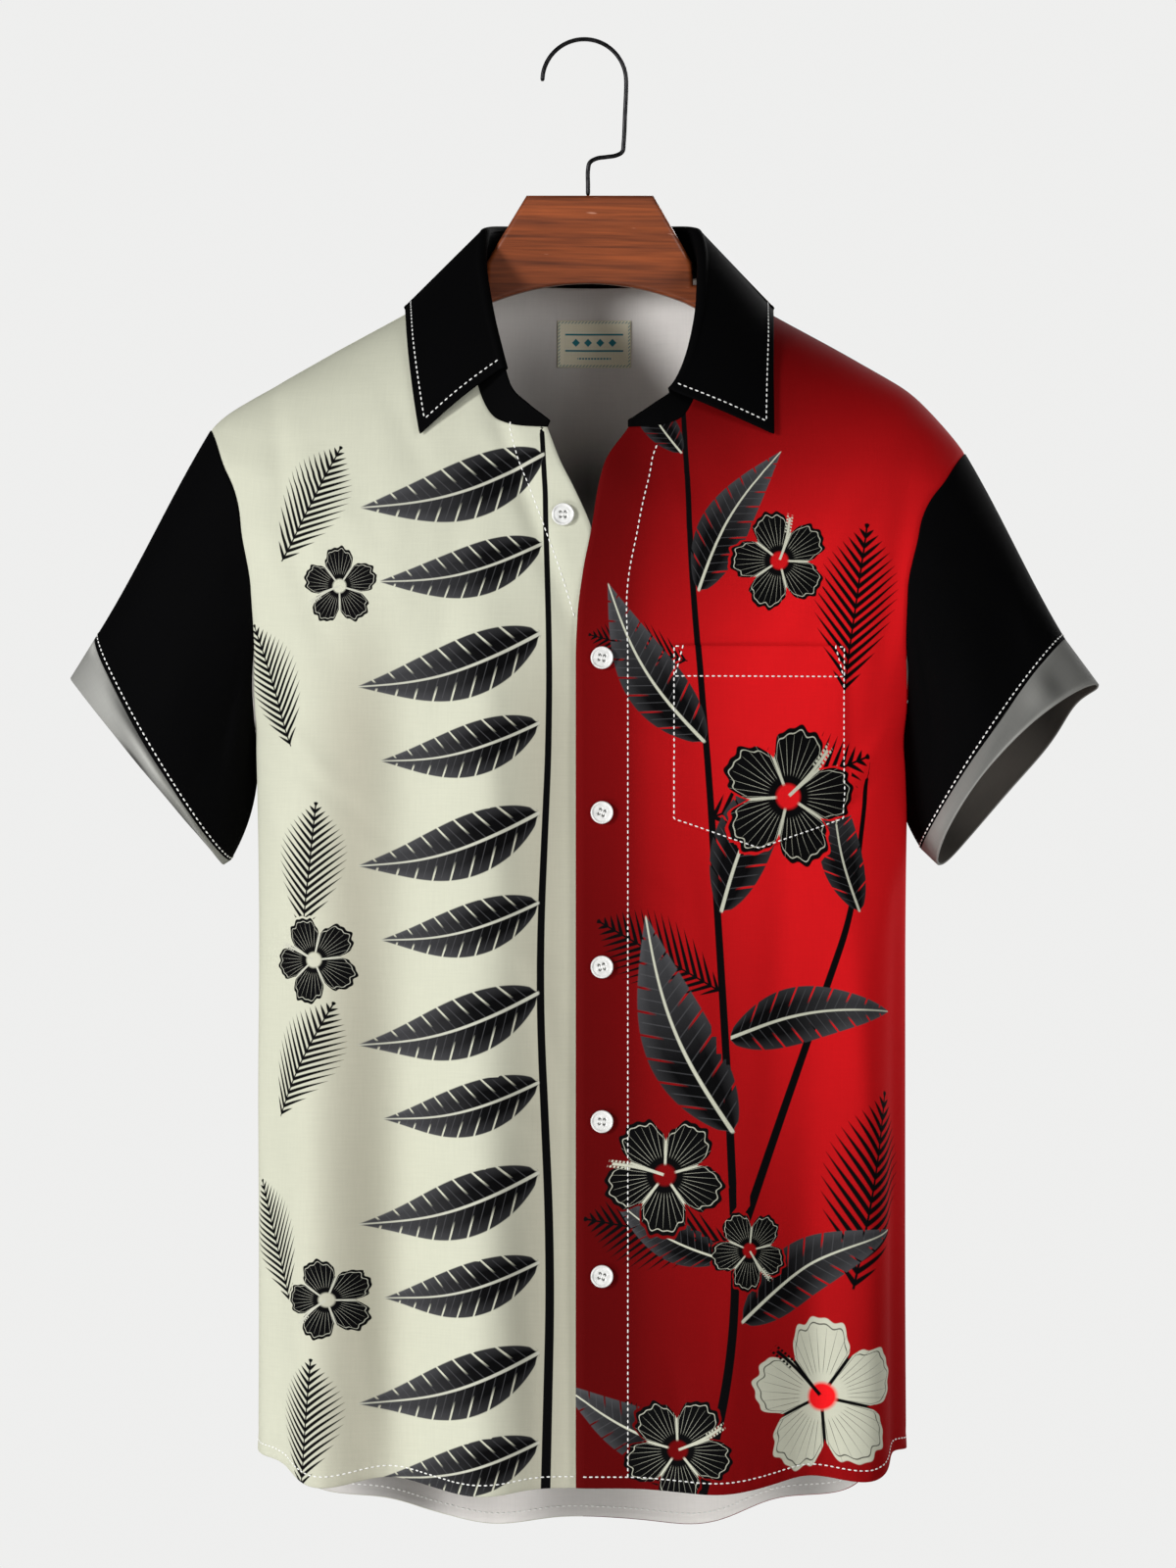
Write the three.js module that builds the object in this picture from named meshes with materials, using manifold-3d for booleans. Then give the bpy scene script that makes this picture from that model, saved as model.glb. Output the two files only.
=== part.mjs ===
// A short-sleeved button-up shirt hanging from a wooden hanger with a wire hook.
// Millimetres, +Z up, the front faces -Y and the wearer's left is +X.
// The origin is the underside of the hook's top, where a rail carries the whole thing,
// so heights are given as "down": millimetres below the rail.
import * as THREE from "three";
import { mergeVertices } from "three/addons/utils/BufferGeometryUtils.js";
import Module from "manifold-3d";

const wasm = await Module();
wasm.setup();

// ---------------------------------------------------------------- driving sizes
const CLOTH = 1.5; // wall of one panel
const BAND = 2.0; // wall of a collar stand or a cuff band, two layers
const LEAF = 2.2; // wall of the collar's turned-down leaf, interlined
const SEAM_GAP = 0.3; // between two pieces that are sewn together
const ON_PANEL = 0.7; // between a panel and what lies on it
// The cosine between two walls' directions decides their mitre: a seam that is folded back on
// itself has none, a flat one has all of it.
const MITRE = { folded: -0.3, flat: 0.2 };
const NECK_DOWN = 151; // where the shoulder seam meets the collar
const NECK_HALF = 73;
const TIP_DOWN = 258; // where the shoulder seam meets the sleeve
const UNDERARM_DOWN = 450;
const HEM_SIDE_DOWN = 905; // the hem at the side seams
// How much lower the hem is at mid front and mid back, and how full its curve is.
const HEM_DROP = { front: 19, back: 48, frontFull: 7, backFull: 2.2 };
const NECK_CENTRE_DOWN = 156.5; // the back neckline at the centre

// Horizontal sections through the trunk. half is the half-width, front and back the depths,
// centre how far the section is shifted along X; flank and round bend the outline
// (1 and 1 is an ellipse, below 1 is fuller, above 1 is a sharper edge at the side).
const TRUNK = [
  { down: NECK_DOWN, half: NECK_HALF, front: 43, back: 43, centre: 0, flank: 1.0, round: 1.42 },
  { down: 178, half: 122, front: 52, back: 51, centre: 0, flank: 1.0, round: 1.38 },
  { down: 205, half: 171.5, front: 61, back: 58, centre: 0, flank: 1.0, round: 1.33 },
  { down: 232, half: 216, front: 69, back: 65, centre: 0, flank: 1.0, round: 1.27 },
  { down: TIP_DOWN, half: 243, front: 76, back: 70, centre: 0, flank: 1.0, round: 1.22 },
  { down: 285, half: 257, front: 81, back: 74, centre: 0, flank: 0.99, round: 1.16 },
  { down: 315, half: 257, front: 85, back: 77, centre: -1, flank: 0.98, round: 1.1 },
  { down: 354, half: 244, front: 88, back: 80, centre: -2, flank: 0.97, round: 1.04 },
  { down: 400, half: 224, front: 90, back: 82, centre: -3, flank: 0.94, round: 0.96 },
  { down: UNDERARM_DOWN, half: 210, front: 91, back: 83, centre: -3.5, flank: 0.91, round: 0.9 },
  { down: 600, half: 208, front: 89, back: 82, centre: -3.5, flank: 0.88, round: 0.85 },
  { down: 780, half: 208, front: 92, back: 86, centre: -3.5, flank: 0.88, round: 0.84 },
  { down: 960, half: 209, front: 96, back: 92, centre: -3.5, flank: 0.88, round: 0.84 },
];

// Soft vertical folds. at is the angle round the trunk in degrees (0 mid front, +90 the wearer's
// left side, 180 mid back), wide the half-width in degrees, deep the height at the hem
// (negative is a trough), from and full where it starts and where it is fully there,
// lean how far it drifts round by the hem.
const FOLDS = [
  { at: -69, wide: 10, deep: -5.0, from: 470, full: 880, lean: 4 },
  { at: -51, wide: 10, deep: 7.5, from: 400, full: 900, lean: 1 },
  { at: -33, wide: 9, deep: -8.5, from: 330, full: 860, lean: -2 },
  { at: -17, wide: 8, deep: 7.5, from: 380, full: 900, lean: 2 },
  { at: 19, wide: 9, deep: 6.5, from: 520, full: 900, lean: 2 },
  { at: 40, wide: 9, deep: -8.0, from: 430, full: 880, lean: 2 },
  { at: 60, wide: 10, deep: 7.0, from: 470, full: 900, lean: -1 },
  { at: 77, wide: 8, deep: -5.0, from: 300, full: 820, lean: -2 },
  { at: 107, wide: 9, deep: -5.5, from: 430, full: 880, lean: 3 },
  { at: 127, wide: 10, deep: 7.0, from: 380, full: 900, lean: 2 },
  { at: 146, wide: 9, deep: -7.5, from: 420, full: 880, lean: -1 },
  { at: 164, wide: 9, deep: 8.5, from: 330, full: 900, lean: -2 },
  { at: -179, wide: 8, deep: -5.0, from: 450, full: 880, lean: 3 },
  { at: -167, wide: 8, deep: 8.0, from: 400, full: 900, lean: -1 },
  { at: -148, wide: 9, deep: -7.5, from: 360, full: 870, lean: 2 },
  { at: -129, wide: 10, deep: 7.0, from: 470, full: 900, lean: 2 },
  { at: -108, wide: 9, deep: -5.5, from: 520, full: 880, lean: -2 },
];
const PLACKET_CALM = { from: 2, to: 12 }; // degrees from mid front where folds die away
const HEM_SWAY = 0.65; // how far a fold's height also lowers the hem there

// The shoulder tips hang unevenly past the hanger's ends: the wearer's left one is lower.
const DROOP = { mm: 8, fromX: 200, toX: 250, fadeFrom: 330, fadeTo: 450 };

// The armhole: an oval bitten out of the side, with its reach in degrees, for front and back.
const ARMHOLE = { front: { left: 34.5, right: 31 }, back: { left: 30, right: 30 }, skew: 1.357 };

// The front edges, as how far each lies on its own side of the centre line:
// below the open neck they overlap, left over right.
const FRONT_EDGE = [
  { down: 251, left: 26, right: 26 },
  { down: 273, left: 11, right: 17.5 },
  { down: 290, left: 6.5, right: 9 },
  { down: 315, left: 2.5, right: -2 },
  { down: 343, left: -3, right: -10 },
  { down: 372, left: -6.5, right: -16 },
  { down: 400, left: -7.5, right: -21 },
  { down: 440, left: -7.5, right: -24.5 },
  { down: 960, left: -7.5, right: -24.5 },
];
const LAP = { lift: 0.9, near: 34, far: 90, from: 262, full: 302 }; // the left front lies over the right
const LAPEL = { roll: 3.5, wide: 19, trough: 2.5, at: 44, spread: 17, from: 251, peak: 280, to: 306 };

// The collar, from its front end (at 0) by the shoulder seam (SHOULDER_AT) to the centre back (1).
// seam is the neckline on the trunk; roll is the stand's top edge.
const NECK_STEPS = { front: 8, back: 6 }; // pieces of the neckline's half that a panel's edge has
const NECK_PIECES = NECK_STEPS.front + NECK_STEPS.back;
const SHOULDER_AT = NECK_STEPS.front / NECK_PIECES;
const COLLAR = [
  { at: 0, seamX: 26, seamDown: 251, rollLeft: 26, rollRight: 24.5, rollY: -77, rollDown: 247 },
  { at: 0.08, seamX: 43, seamDown: 250, rollLeft: 41, rollRight: 37.5, rollY: -76, rollDown: 237 },
  { at: 0.16, seamX: 59, seamDown: 245, rollLeft: 55.5, rollRight: 49, rollY: -70, rollDown: 226 },
  { at: 0.27, seamX: 70, seamDown: 225, rollLeft: 66, rollRight: 57, rollY: -58, rollDown: 200 },
  { at: 0.38, seamX: 75, seamDown: 198, rollLeft: 71, rollRight: 63.5, rollY: -41, rollDown: 170 },
  { at: 0.48, seamX: 76, seamDown: 172, rollLeft: 72, rollRight: 67, rollY: -21, rollDown: 143 },
  {
    at: SHOULDER_AT,
    seamX: NECK_HALF,
    seamDown: NECK_DOWN,
    rollLeft: 68,
    rollRight: 64.5,
    rollY: 0,
    rollDown: 124,
  },
  { at: 0.75, seamX: 59, seamDown: 153.5, rollLeft: 56, rollRight: 54, rollY: 25, rollDown: 121.5 },
  { at: 0.88, seamX: 32, seamDown: 156, rollLeft: 31, rollRight: 30.5, rollY: 37.5, rollDown: 121 },
  { at: 1, seamX: 0, seamDown: NECK_CENTRE_DOWN, rollLeft: 0, rollRight: 0, rollY: 42, rollDown: 121 },
];
// The leaf's lower edge, from the collar point round to the centre back.
const LEAF_FROM = { left: 2 / NECK_PIECES, right: 3 / NECK_PIECES };
const LEAF_EDGE = [
  { at: LEAF_FROM.left, left: 118.5, leftDown: 254.5, right: 104, rightDown: 264 },
  { at: LEAF_FROM.right, left: 118.5, leftDown: 240, right: 107, rightDown: 254.5 },
  { at: 0.32, left: 118.5, leftDown: 220, right: 111.5, rightDown: 228 },
  { at: 0.45, left: 119, leftDown: 195, right: 115.5, rightDown: 197 },
  { at: SHOULDER_AT, left: 119.5, leftDown: 171, right: 118, rightDown: 170.5 },
  { at: 0.72, left: 104, leftDown: 173, right: 104, rightDown: 173 },
  { at: 0.85, left: 62, leftDown: 173, right: 62, rightDown: 173 },
  { at: 1, left: 0, leftDown: 173, right: 0, rightDown: 173 },
];
// How far the leaf stands off a straight fall; calm is the reach of the shoulder, where it doesn't,
// and fade how much less it does so towards its edge.
const LEAF_BULGE = { out: 3.2, calm: 0.15, fade: 0.4 };
const ROLL_RADIUS = 1.5; // inside the turn of the leaf over the stand
const LEAF_CLEARANCE = 1.2; // between the leaf and the trunk under it
const LEAF_ARCH = { more: 4, reach: 0.13 }; // the leaf arches clear of the shoulder's ridge

// Sleeves: the ends of the black tube's edge and of the band's rim, as [x, down] on each side:
// top is the outer corner, low the corner next to the trunk.
const SLEEVES = {
  left: { top: [307.5, 385], low: [214.5, 520], rimTop: [329, 414], rimLow: [225, 530] },
  right: { top: [317, 384], low: [230, 527], rimTop: [333.3, 410], rimLow: [234.5, 530] },
};
const SLEEVE_DEPTH = 39; // half the tube's front-to-back depth at its edge
const RIM_DEPTH = 40.5;
// How each ring leans out of its plane: tilt shortens the front and lengthens the back, bend
// shortens both, notch draws the back in beside the outer corner.
const RINGS = {
  left: { edge: { tilt: 5.5, bend: 1.5, notch: 0 }, rim: { tilt: 11.3, bend: 7.5, notch: 6 } },
  right: { edge: { tilt: -7, bend: 0, notch: 0 }, rim: { tilt: 1, bend: -1, notch: 3 } },
};
const NOTCH = { at: 0.61, wide: 0.06 };
// How the cloth runs from the armhole to the edge. It leaves the armhole swelling outwards and up,
// and falls straight down at the underarm; it arrives in line with the cuff, mostly so at the
// underarm. from, full and calm are turns from the underarm.
const SWELL = { mm: 16, out: 0.35, up: 0.2, from: 0.02, full: 0.3 };
const UNDERARM_FALL = { share: 1.35, calm: 0.08 };
const ARRIVAL = { underarm: 0.35, elsewhere: 0.12, calm: 0.2 };
const FOLDED_GAP = 1.3 * SEAM_GAP; // more room at the underarm, where the seam is folded back
// Creases in the sleeves: at and wide are turns round the tube (0 underarm, 0.25 front, 0.5 top),
// mid and long are where along the tube, deep is in millimetres.
const SLEEVE_CREASES = [
  { at: 0.17, wide: 0.035, mid: 0.55, long: 0.29, deep: -3.5 },
  { at: 0.27, wide: 0.04, mid: 0.75, long: 0.29, deep: 3.0 },
  { at: 0.36, wide: 0.035, mid: 0.8, long: 0.2, deep: -2.5 },
  { at: 0.66, wide: 0.04, mid: 0.7, long: 0.29, deep: -3.0 },
  { at: 0.79, wide: 0.045, mid: 0.6, long: 0.29, deep: 3.0 },
];

const CREASES_FULL = 0.35; // how far along the sleeve its creases are fully there

const POCKET = { x0: 53, x1: 164, top: 390, corner: 501, point: 19, cloth: 1.2 };
const LABEL = { x0: -20, x1: 28, top: 177, height: 30, thick: 0.7 };
const BUTTON = { radius: 7.2, thick: 2.6, rim: 1.3, dish: 0.7, hole: 0.95, holeAt: 1.9, gap: 0.65 };
const BUTTON_EDGE = { foot: 1, waist: 0.4, crown: 0.5, slope: 1 }; // foot, crown and slope in mm
const BUTTON_X = 8.8;
const FIRST_BUTTON = { x: -15.8, down: 307 }; // on the right front, left undone
const FASTENED = { from: 398, pitch: 98, count: 5 };

// Hanger: a flat wooden bow with a block in the middle, cut from one board. seat is how far the
// arms' tops lie below the shoulder's ridge.
const WOOD = { thick: 14, bevel: 3, blockTop: 99.5, seat: 4.6 };
const BLOCK = { left: { top: 42, low: 67 }, right: { top: 39.5, low: 65.5 }, lowDown: 142.5 };
const BLOCK_FOOT = { out: 0.6, drop: 1.2 }; // where the block's flank runs into the arm
const ARM = { root: 77, end: 203, deepAtEnd: 22.4, deepAtRoot: 21.4, underFrom: 179, underTo: 70 };
// The arm's rounded end, as [in from the end, below the arm's top].
const ARM_END = [[6, 0], [1.5, 4.5], [0, 10], [2, 15.5], [8, 18.5]];
const ARCH = { down: 156, drop: 14, half: 66, from: 62 }; // under the block, a shallow parabola
const HOOK = { wire: 1.4, eye: 27, eyeX: -2.4, sunk: 14, play: 0.3 };
// The wire's bends from the wood up to the eye, as [x, down].
const HOOK_BENDS = [
  [0, WOOD.blockTop + HOOK.sunk],
  [0, 92],
  [0, 83],
  [1.2, 78],
  [5.5, 75.4],
  [12, 74.4],
  [18.1, 73.4],
  [22.1, 71],
  [23, 65],
  [23.8, 48],
];

// The grids the walls are made of: a panel's rows below and above the underarm, and its columns.
const LOWER_ROWS = 11;
const UPPER_ROWS = 16;
const FRONT_COLUMNS = 16;
const BACK_COLUMNS = 14; // of the back's half
const ROUND_SLEEVE = 2 * UPPER_ROWS;
const SLEEVE_ROWS = 7;
const CUFF_ROWS = 3;
const STAND_ROWS = 3;
const LEAF_ROWS = 9;
const POCKET_GRID = { rows: 9, columns: 8 };
const LABEL_GRID = { rows: 2, columns: 6 };

const LOOKS = {
  ivory: { color: 0xdadbc6, roughness: 0.7 },
  red: { color: 0xc01520, roughness: 0.7 },
  black: { color: 0x0b0b0c, roughness: 0.7 },
  reverse: { color: 0xa5a49e, roughness: 0.8 },
  cream: { color: 0xe9e1c1, roughness: 0.8 },
  pearl: { color: 0xeceae6, roughness: 0.35 },
  stain: { color: 0x9c4526, roughness: 0.45 },
  wire: { color: 0x121212, roughness: 0.3, metalness: 0.9 },
};

// ---------------------------------------------------------------- small helpers
const DEG = Math.PI / 180;
const QUARTER = Math.PI / 2;
const mix = (a, b, t) => a + (b - a) * t;
const clamp = (x, low, high) => Math.min(high, Math.max(low, x));
const vec = (x, y, z) => new THREE.Vector3(x, y, z);
const sideName = (side) => (side > 0 ? "left" : "right");
const wrap = (turn) => ((turn % 1) + 1) % 1;
const range = (count) => Array.from({ length: count }, (_, i) => i);

function smooth(from, to, x) {
  const t = clamp((x - from) / (to - from), 0, 1);
  return t * t * (3 - 2 * t);
}

// Reads a table at any key by a smooth curve through its rows that doesn't overshoot them.
function reader(rows, key) {
  const keys = rows.map((row) => row[key]);
  const last = keys.length - 1;
  const slopes = {};
  for (const column of Object.keys(rows[0])) {
    const rise = range(last).map(
      (i) => (rows[i + 1][column] - rows[i][column]) / (keys[i + 1] - keys[i]),
    );
    slopes[column] = keys.map((_, i) => {
      if (i === 0 || i === last) return rise[Math.min(i, last - 1)];
      const [before, after] = [rise[i - 1], rise[i]];
      return before * after <= 0 ? 0 : (2 * before * after) / (before + after);
    });
  }
  return (column, x) => {
    const at = clamp(x, keys[0], keys[last]);
    let i = 0;
    while (i < last - 1 && at > keys[i + 1]) i += 1;
    const step = keys[i + 1] - keys[i];
    const t = (at - keys[i]) / step;
    const [p, q] = [rows[i][column], rows[i + 1][column]];
    const [m, n] = [slopes[column][i] * step, slopes[column][i + 1] * step];
    return (
      p * (2 * t ** 3 - 3 * t ** 2 + 1) +
      m * (t ** 3 - 2 * t ** 2 + t) +
      q * (3 * t ** 2 - 2 * t ** 3) +
      n * (t ** 3 - t ** 2)
    );
  };
}

const trunk = reader(TRUNK, "down");
const frontEdge = reader(FRONT_EDGE, "down");
const collar = reader(COLLAR, "at");
const leafEdge = reader(LEAF_EDGE, "at");

// ---------------------------------------------------------------- the trunk's surface
function foldHeight(angle, down) {
  let height = 0;
  for (const fold of FOLDS) {
    const grown = smooth(fold.from, fold.full, down);
    const middle = (fold.at + fold.lean * grown) * DEG;
    const off = Math.atan2(Math.sin(angle - middle), Math.cos(angle - middle));
    height += fold.deep * grown * Math.exp(-((off / (fold.wide * DEG)) ** 2));
  }
  const off = Math.abs(Math.atan2(Math.sin(angle), Math.cos(angle))) / DEG;
  return height * smooth(PLACKET_CALM.from, PLACKET_CALM.to, off);
}

function droop(x, down) {
  const past = smooth(DROOP.fromX, DROOP.toX, Math.abs(x));
  return Math.sign(x) * DROOP.mm * past * (1 - smooth(DROOP.fadeFrom, DROOP.fadeTo, down));
}

// A point on the trunk's outside, lifted off it by lift along the section's outward direction.
function trunkPoint(angle, down, lift = 0) {
  const [s, c] = [Math.sin(angle), Math.cos(angle)];
  const half = trunk("half", down);
  const depth = trunk(c >= 0 ? "front" : "back", down);
  const outward = vec(s / half, -c / depth, 0).normalize();
  const x = trunk("centre", down) + Math.sign(s) * Math.abs(s) ** trunk("flank", down) * half;
  const y = -Math.sign(c) * Math.abs(c) ** trunk("round", down) * depth;
  const height = foldHeight(angle, down) + lift;
  return vec(x + outward.x * height, y + outward.y * height, -down - droop(x, down));
}

// The angle round the trunk's front half at which it is x from the middle plane.
function angleAt(x, down) {
  const share = clamp((x - trunk("centre", down)) / trunk("half", down), -1, 1);
  return Math.asin(Math.sign(share) * Math.abs(share) ** (1 / trunk("flank", down)));
}

function hemDown(angle) {
  const front = Math.cos(angle) >= 0;
  const drop = front ? HEM_DROP.front : HEM_DROP.back;
  const full = front ? HEM_DROP.frontFull : HEM_DROP.backFull;
  const level = HEM_SIDE_DOWN + drop * (1 - Math.abs(Math.sin(angle)) ** full);
  return level + HEM_SWAY * foldHeight(angle, level);
}

// How far a front stands off the plain trunk: the lap at the buttons and the rolled-open neck.
function frontLift(side, x, down) {
  const near = 1 - smooth(LAP.near, LAP.far, Math.abs(x));
  const lap = side * LAP.lift * near * smooth(LAP.from, LAP.full, down);
  const inward = side * x - frontEdge(side > 0 ? "left" : "right", down);
  const open = smooth(LAPEL.from, LAPEL.peak, down) * (1 - smooth(LAPEL.peak, LAPEL.to, down));
  const roll = LAPEL.roll * Math.exp(-((inward / LAPEL.wide) ** 2));
  const trough = LAPEL.trough * Math.exp(-(((inward - LAPEL.at) / LAPEL.spread) ** 2));
  return lap + open * (roll - trough);
}

// A point of one of the fronts, at an angle and height of the trunk.
function frontPoint(side, angle, down) {
  const x = trunkPoint(angle, down).x;
  return trunkPoint(angle, down, frontLift(side, x, down));
}

const backPoint = (angle, down) => trunkPoint(angle, down);

// The surface of a side's front, or of the back.
const panelOf = (side, isFront) =>
  isFront ? (angle, down) => frontPoint(side, angle, down) : backPoint;

// The steps on either side of a point over which a surface's slopes are taken.
const TRUNK_STEP = { angle: 0.6 * DEG, down: 1.5 };
const TUBE_STEP = { turn: 0.004, s: 0.02 };
const STAND_STEP = { at: 0.01, h: 0.05 };
const LEAF_STEP = { at: 0.008, q: 0.02 };
const ROLL_STEP = 0.02;

// The outward normal of a surface given as a function of two numbers.
function normalOf(surface, a, b, stepA, stepB, outward) {
  const alongA = surface(a + stepA, b).sub(surface(a - stepA, b));
  const alongB = surface(a, b + stepB).sub(surface(a, b - stepB));
  const normal = alongA.cross(alongB).normalize();
  return normal.dot(outward) < 0 ? normal.negate() : normal;
}

function trunkNormal(surface, angle, down) {
  const outward = vec(Math.sin(angle), -Math.cos(angle), 0.3);
  return normalOf(surface, angle, down, TRUNK_STEP.angle, TRUNK_STEP.down, outward);
}

// ---------------------------------------------------------------- seams between pieces
// t runs from the underarm (0) to the shoulder tip (1).
function armhole(side, part, t) {
  const middle = (UNDERARM_DOWN + TIP_DOWN) / 2;
  const span = (UNDERARM_DOWN - TIP_DOWN) / 2;
  const bite = ARMHOLE[part][side > 0 ? "left" : "right"] * DEG * Math.sin(Math.PI * t ** ARMHOLE.skew);
  const local = part === "front" ? QUARTER - bite : QUARTER + bite;
  return { angle: side * local, down: middle + span * Math.cos(Math.PI * t) };
}

// The neckline on the trunk, at a place along the collar.
function neckline(side, at) {
  const down = collar("seamDown", at);
  const local = angleAt(Math.min(collar("seamX", at), trunk("half", down)), down);
  return { angle: side * (at <= SHOULDER_AT ? local : Math.PI - local), down };
}

// A patch of (angle, down) places between four edges, each a function of one number.
function patch(u, v, low, high, start, end) {
  const value = (key) => {
    const across = mix(low(u)[key], high(u)[key], v) + mix(start(v)[key], end(v)[key], u);
    const corners = mix(mix(low(0)[key], low(1)[key], u), mix(high(0)[key], high(1)[key], u), v);
    return across - corners;
  };
  return { angle: value("angle"), down: value("down") };
}

const shoulderSeam = (side, t) => ({ angle: side * QUARTER, down: mix(NECK_DOWN, TIP_DOWN, t) });

// Where the neckline takes over from the front edge, as a share of the height above the underarm.
const NECK_SHARE = 1 - NECK_STEPS.front / UPPER_ROWS;
// The share of the back's top edge, from the middle, that is neckline.
const BACK_NECK_SHARE = NECK_STEPS.back / BACK_COLUMNS;

function frontEdgePlace(side, down) {
  const x = side * frontEdge(side > 0 ? "left" : "right", down);
  return { angle: angleAt(x, down), down };
}

// u runs from the front edge (0) to the side (1), v from the underarm level (0) to the shoulder (1).
function frontUpper(side, u, v) {
  const low = (t) => ({
    angle: mix(frontEdgePlace(side, UNDERARM_DOWN).angle, side * QUARTER, t),
    down: UNDERARM_DOWN,
  });
  const start = (t) =>
    t <= NECK_SHARE
      ? frontEdgePlace(side, mix(UNDERARM_DOWN, COLLAR[0].seamDown, t / NECK_SHARE))
      : neckline(side, (SHOULDER_AT * (t - NECK_SHARE)) / (1 - NECK_SHARE));
  const end = (t) => armhole(side, "front", t);
  return patch(u, v, low, (t) => shoulderSeam(side, t), start, end);
}

// v runs from the hem (0) to the underarm level (1).
function lowerPlace(angleOf, v) {
  const hem = hemDown(angleOf(HEM_SIDE_DOWN));
  const down = mix(hem, UNDERARM_DOWN, v);
  return { angle: angleOf(down), down };
}

const frontLower = (side, u, v) =>
  lowerPlace((down) => mix(frontEdgePlace(side, down).angle, side * QUARTER, u), v);

// u runs from the centre back (0) to the side (1).
function backUpper(side, u, v) {
  const low = (t) => ({ angle: side * mix(Math.PI, QUARTER, t), down: UNDERARM_DOWN });
  const high = (t) =>
    t <= BACK_NECK_SHARE
      ? neckline(side, mix(1, SHOULDER_AT, t / BACK_NECK_SHARE))
      : shoulderSeam(side, (t - BACK_NECK_SHARE) / (1 - BACK_NECK_SHARE));
  const start = (t) => ({ angle: side * Math.PI, down: mix(UNDERARM_DOWN, NECK_CENTRE_DOWN, t) });
  const end = (t) => armhole(side, "back", t);
  return patch(u, v, low, high, start, end);
}

const backLower = (side, u, v) => lowerPlace(() => side * mix(Math.PI, QUARTER, u), v);

// ---------------------------------------------------------------- sleeves
// A ring of the sleeve's free end. turn is 0 at the underarm, 0.25 in front, 0.5 on top and 0.75
// behind.
function endRing(side, top, low, depth, ring, turn) {
  const [c, s] = [Math.cos(2 * Math.PI * turn), Math.sin(2 * Math.PI * turn)];
  const along = vec(top[0] - low[0], 0, low[1] - top[1]);
  const outward = vec(along.z, 0, -along.x).normalize();
  const middle = vec((top[0] + low[0]) / 2, 0, -(top[1] + low[1]) / 2);
  const notch = ring.notch * Math.exp(-(((turn - NOTCH.at) / NOTCH.wide) ** 2));
  const shift = -ring.tilt * s - ring.bend * s * s - notch;
  const point = middle.addScaledVector(along, -c / 2).addScaledVector(outward, shift);
  return vec(side * point.x, -depth * s, point.z);
}

const sleeveOf = (side) => SLEEVES[sideName(side)];

// The panel that a turn of the sleeve is sewn to, and the place on it.
function armholeAt(side, turn) {
  const wrapped = wrap(turn);
  const isFront = wrapped <= 0.5;
  const place = armhole(side, isFront ? "front" : "back", 2 * (isFront ? wrapped : 1 - wrapped));
  return { surface: panelOf(side, isFront), ...place };
}

function sleeveStart(side, turn) {
  const { surface, angle, down } = armholeAt(side, turn);
  const folded = Math.sqrt(Math.max(0, Math.cos(2 * Math.PI * turn)));
  const away = vec(Math.sin(angle), -Math.cos(angle), 0);
  return surface(angle, down).addScaledVector(away, FOLDED_GAP * folded);
}

function sleeveEdge(side, turn) {
  const { top, low } = sleeveOf(side);
  return endRing(side, top, low, SLEEVE_DEPTH, RINGS[sideName(side)].edge, turn);
}

function creaseHeight(turn, s) {
  let height = 0;
  for (const crease of SLEEVE_CREASES) {
    const off = (turn - crease.at) / crease.wide;
    height += crease.deep * Math.exp(-(off ** 2) - ((s - crease.mid) / crease.long) ** 2);
  }
  return height;
}

// A point of the sleeve: s runs from the armhole (0) to the stitched edge (1).
function sleevePoint(side, turn, s) {
  const [start, end] = [sleeveStart(side, turn), sleeveEdge(side, turn)];
  const { top, low } = sleeveOf(side);
  const chord = end.clone().sub(start);
  const axis = vec(side * (low[1] - top[1]), 0, -(top[0] - low[0])).normalize();
  const fromUnderarm = Math.abs(wrap(turn + 0.5) - 0.5);
  const free = smooth(SWELL.from, SWELL.full, fromUnderarm);
  const swell = vec(side * SWELL.out, -Math.sin(2 * Math.PI * turn), SWELL.up);
  const leave = chord.clone().addScaledVector(swell, SWELL.mm * free);
  const fall = vec(0, 0, -UNDERARM_FALL.share * chord.length());
  leave.lerp(fall, 1 - smooth(0, UNDERARM_FALL.calm, fromUnderarm));
  const calm = smooth(0, ARRIVAL.calm, fromUnderarm);
  const turned = mix(ARRIVAL.underarm, ARRIVAL.elsewhere, calm);
  const arrive = chord.clone().lerp(axis.multiplyScalar(chord.length()), turned);
  const point = start.multiplyScalar(2 * s ** 3 - 3 * s ** 2 + 1);
  point.addScaledVector(leave, s ** 3 - 2 * s ** 2 + s);
  point.addScaledVector(end, 3 * s ** 2 - 2 * s ** 3);
  point.addScaledVector(arrive, s ** 3 - s ** 2);
  const dent = creaseHeight(wrap(turn), s) * smooth(0, CREASES_FULL, s);
  point.y -= dent * Math.sin(2 * Math.PI * turn);
  return point;
}

function rimPoint(side, turn) {
  const { rimTop, rimLow } = sleeveOf(side);
  return endRing(side, rimTop, rimLow, RIM_DEPTH, RINGS[sideName(side)].rim, turn);
}

// A point of the cuff band: s runs from the stitched edge (0) to the rim (1).
function cuffPoint(side, turn, s) {
  return sleeveEdge(side, turn).lerp(rimPoint(side, turn), s);
}

function tubeNormal(surface, side, turn, s) {
  const { top, low } = sleeveOf(side);
  const middle = vec((side * (top[0] + low[0])) / 2, 0, -(top[1] + low[1]) / 2);
  const centre = s <= 0 ? surface(side, turn + 0.5, s).lerp(surface(side, turn, s), 0.5) : middle;
  const outward = surface(side, turn, s).sub(centre);
  outward.y = -Math.sin(2 * Math.PI * turn) * SLEEVE_DEPTH;
  const plain = (a, b) => surface(side, a, b);
  return normalOf(plain, turn, s, TUBE_STEP.turn, TUBE_STEP.s, outward);
}

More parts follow.
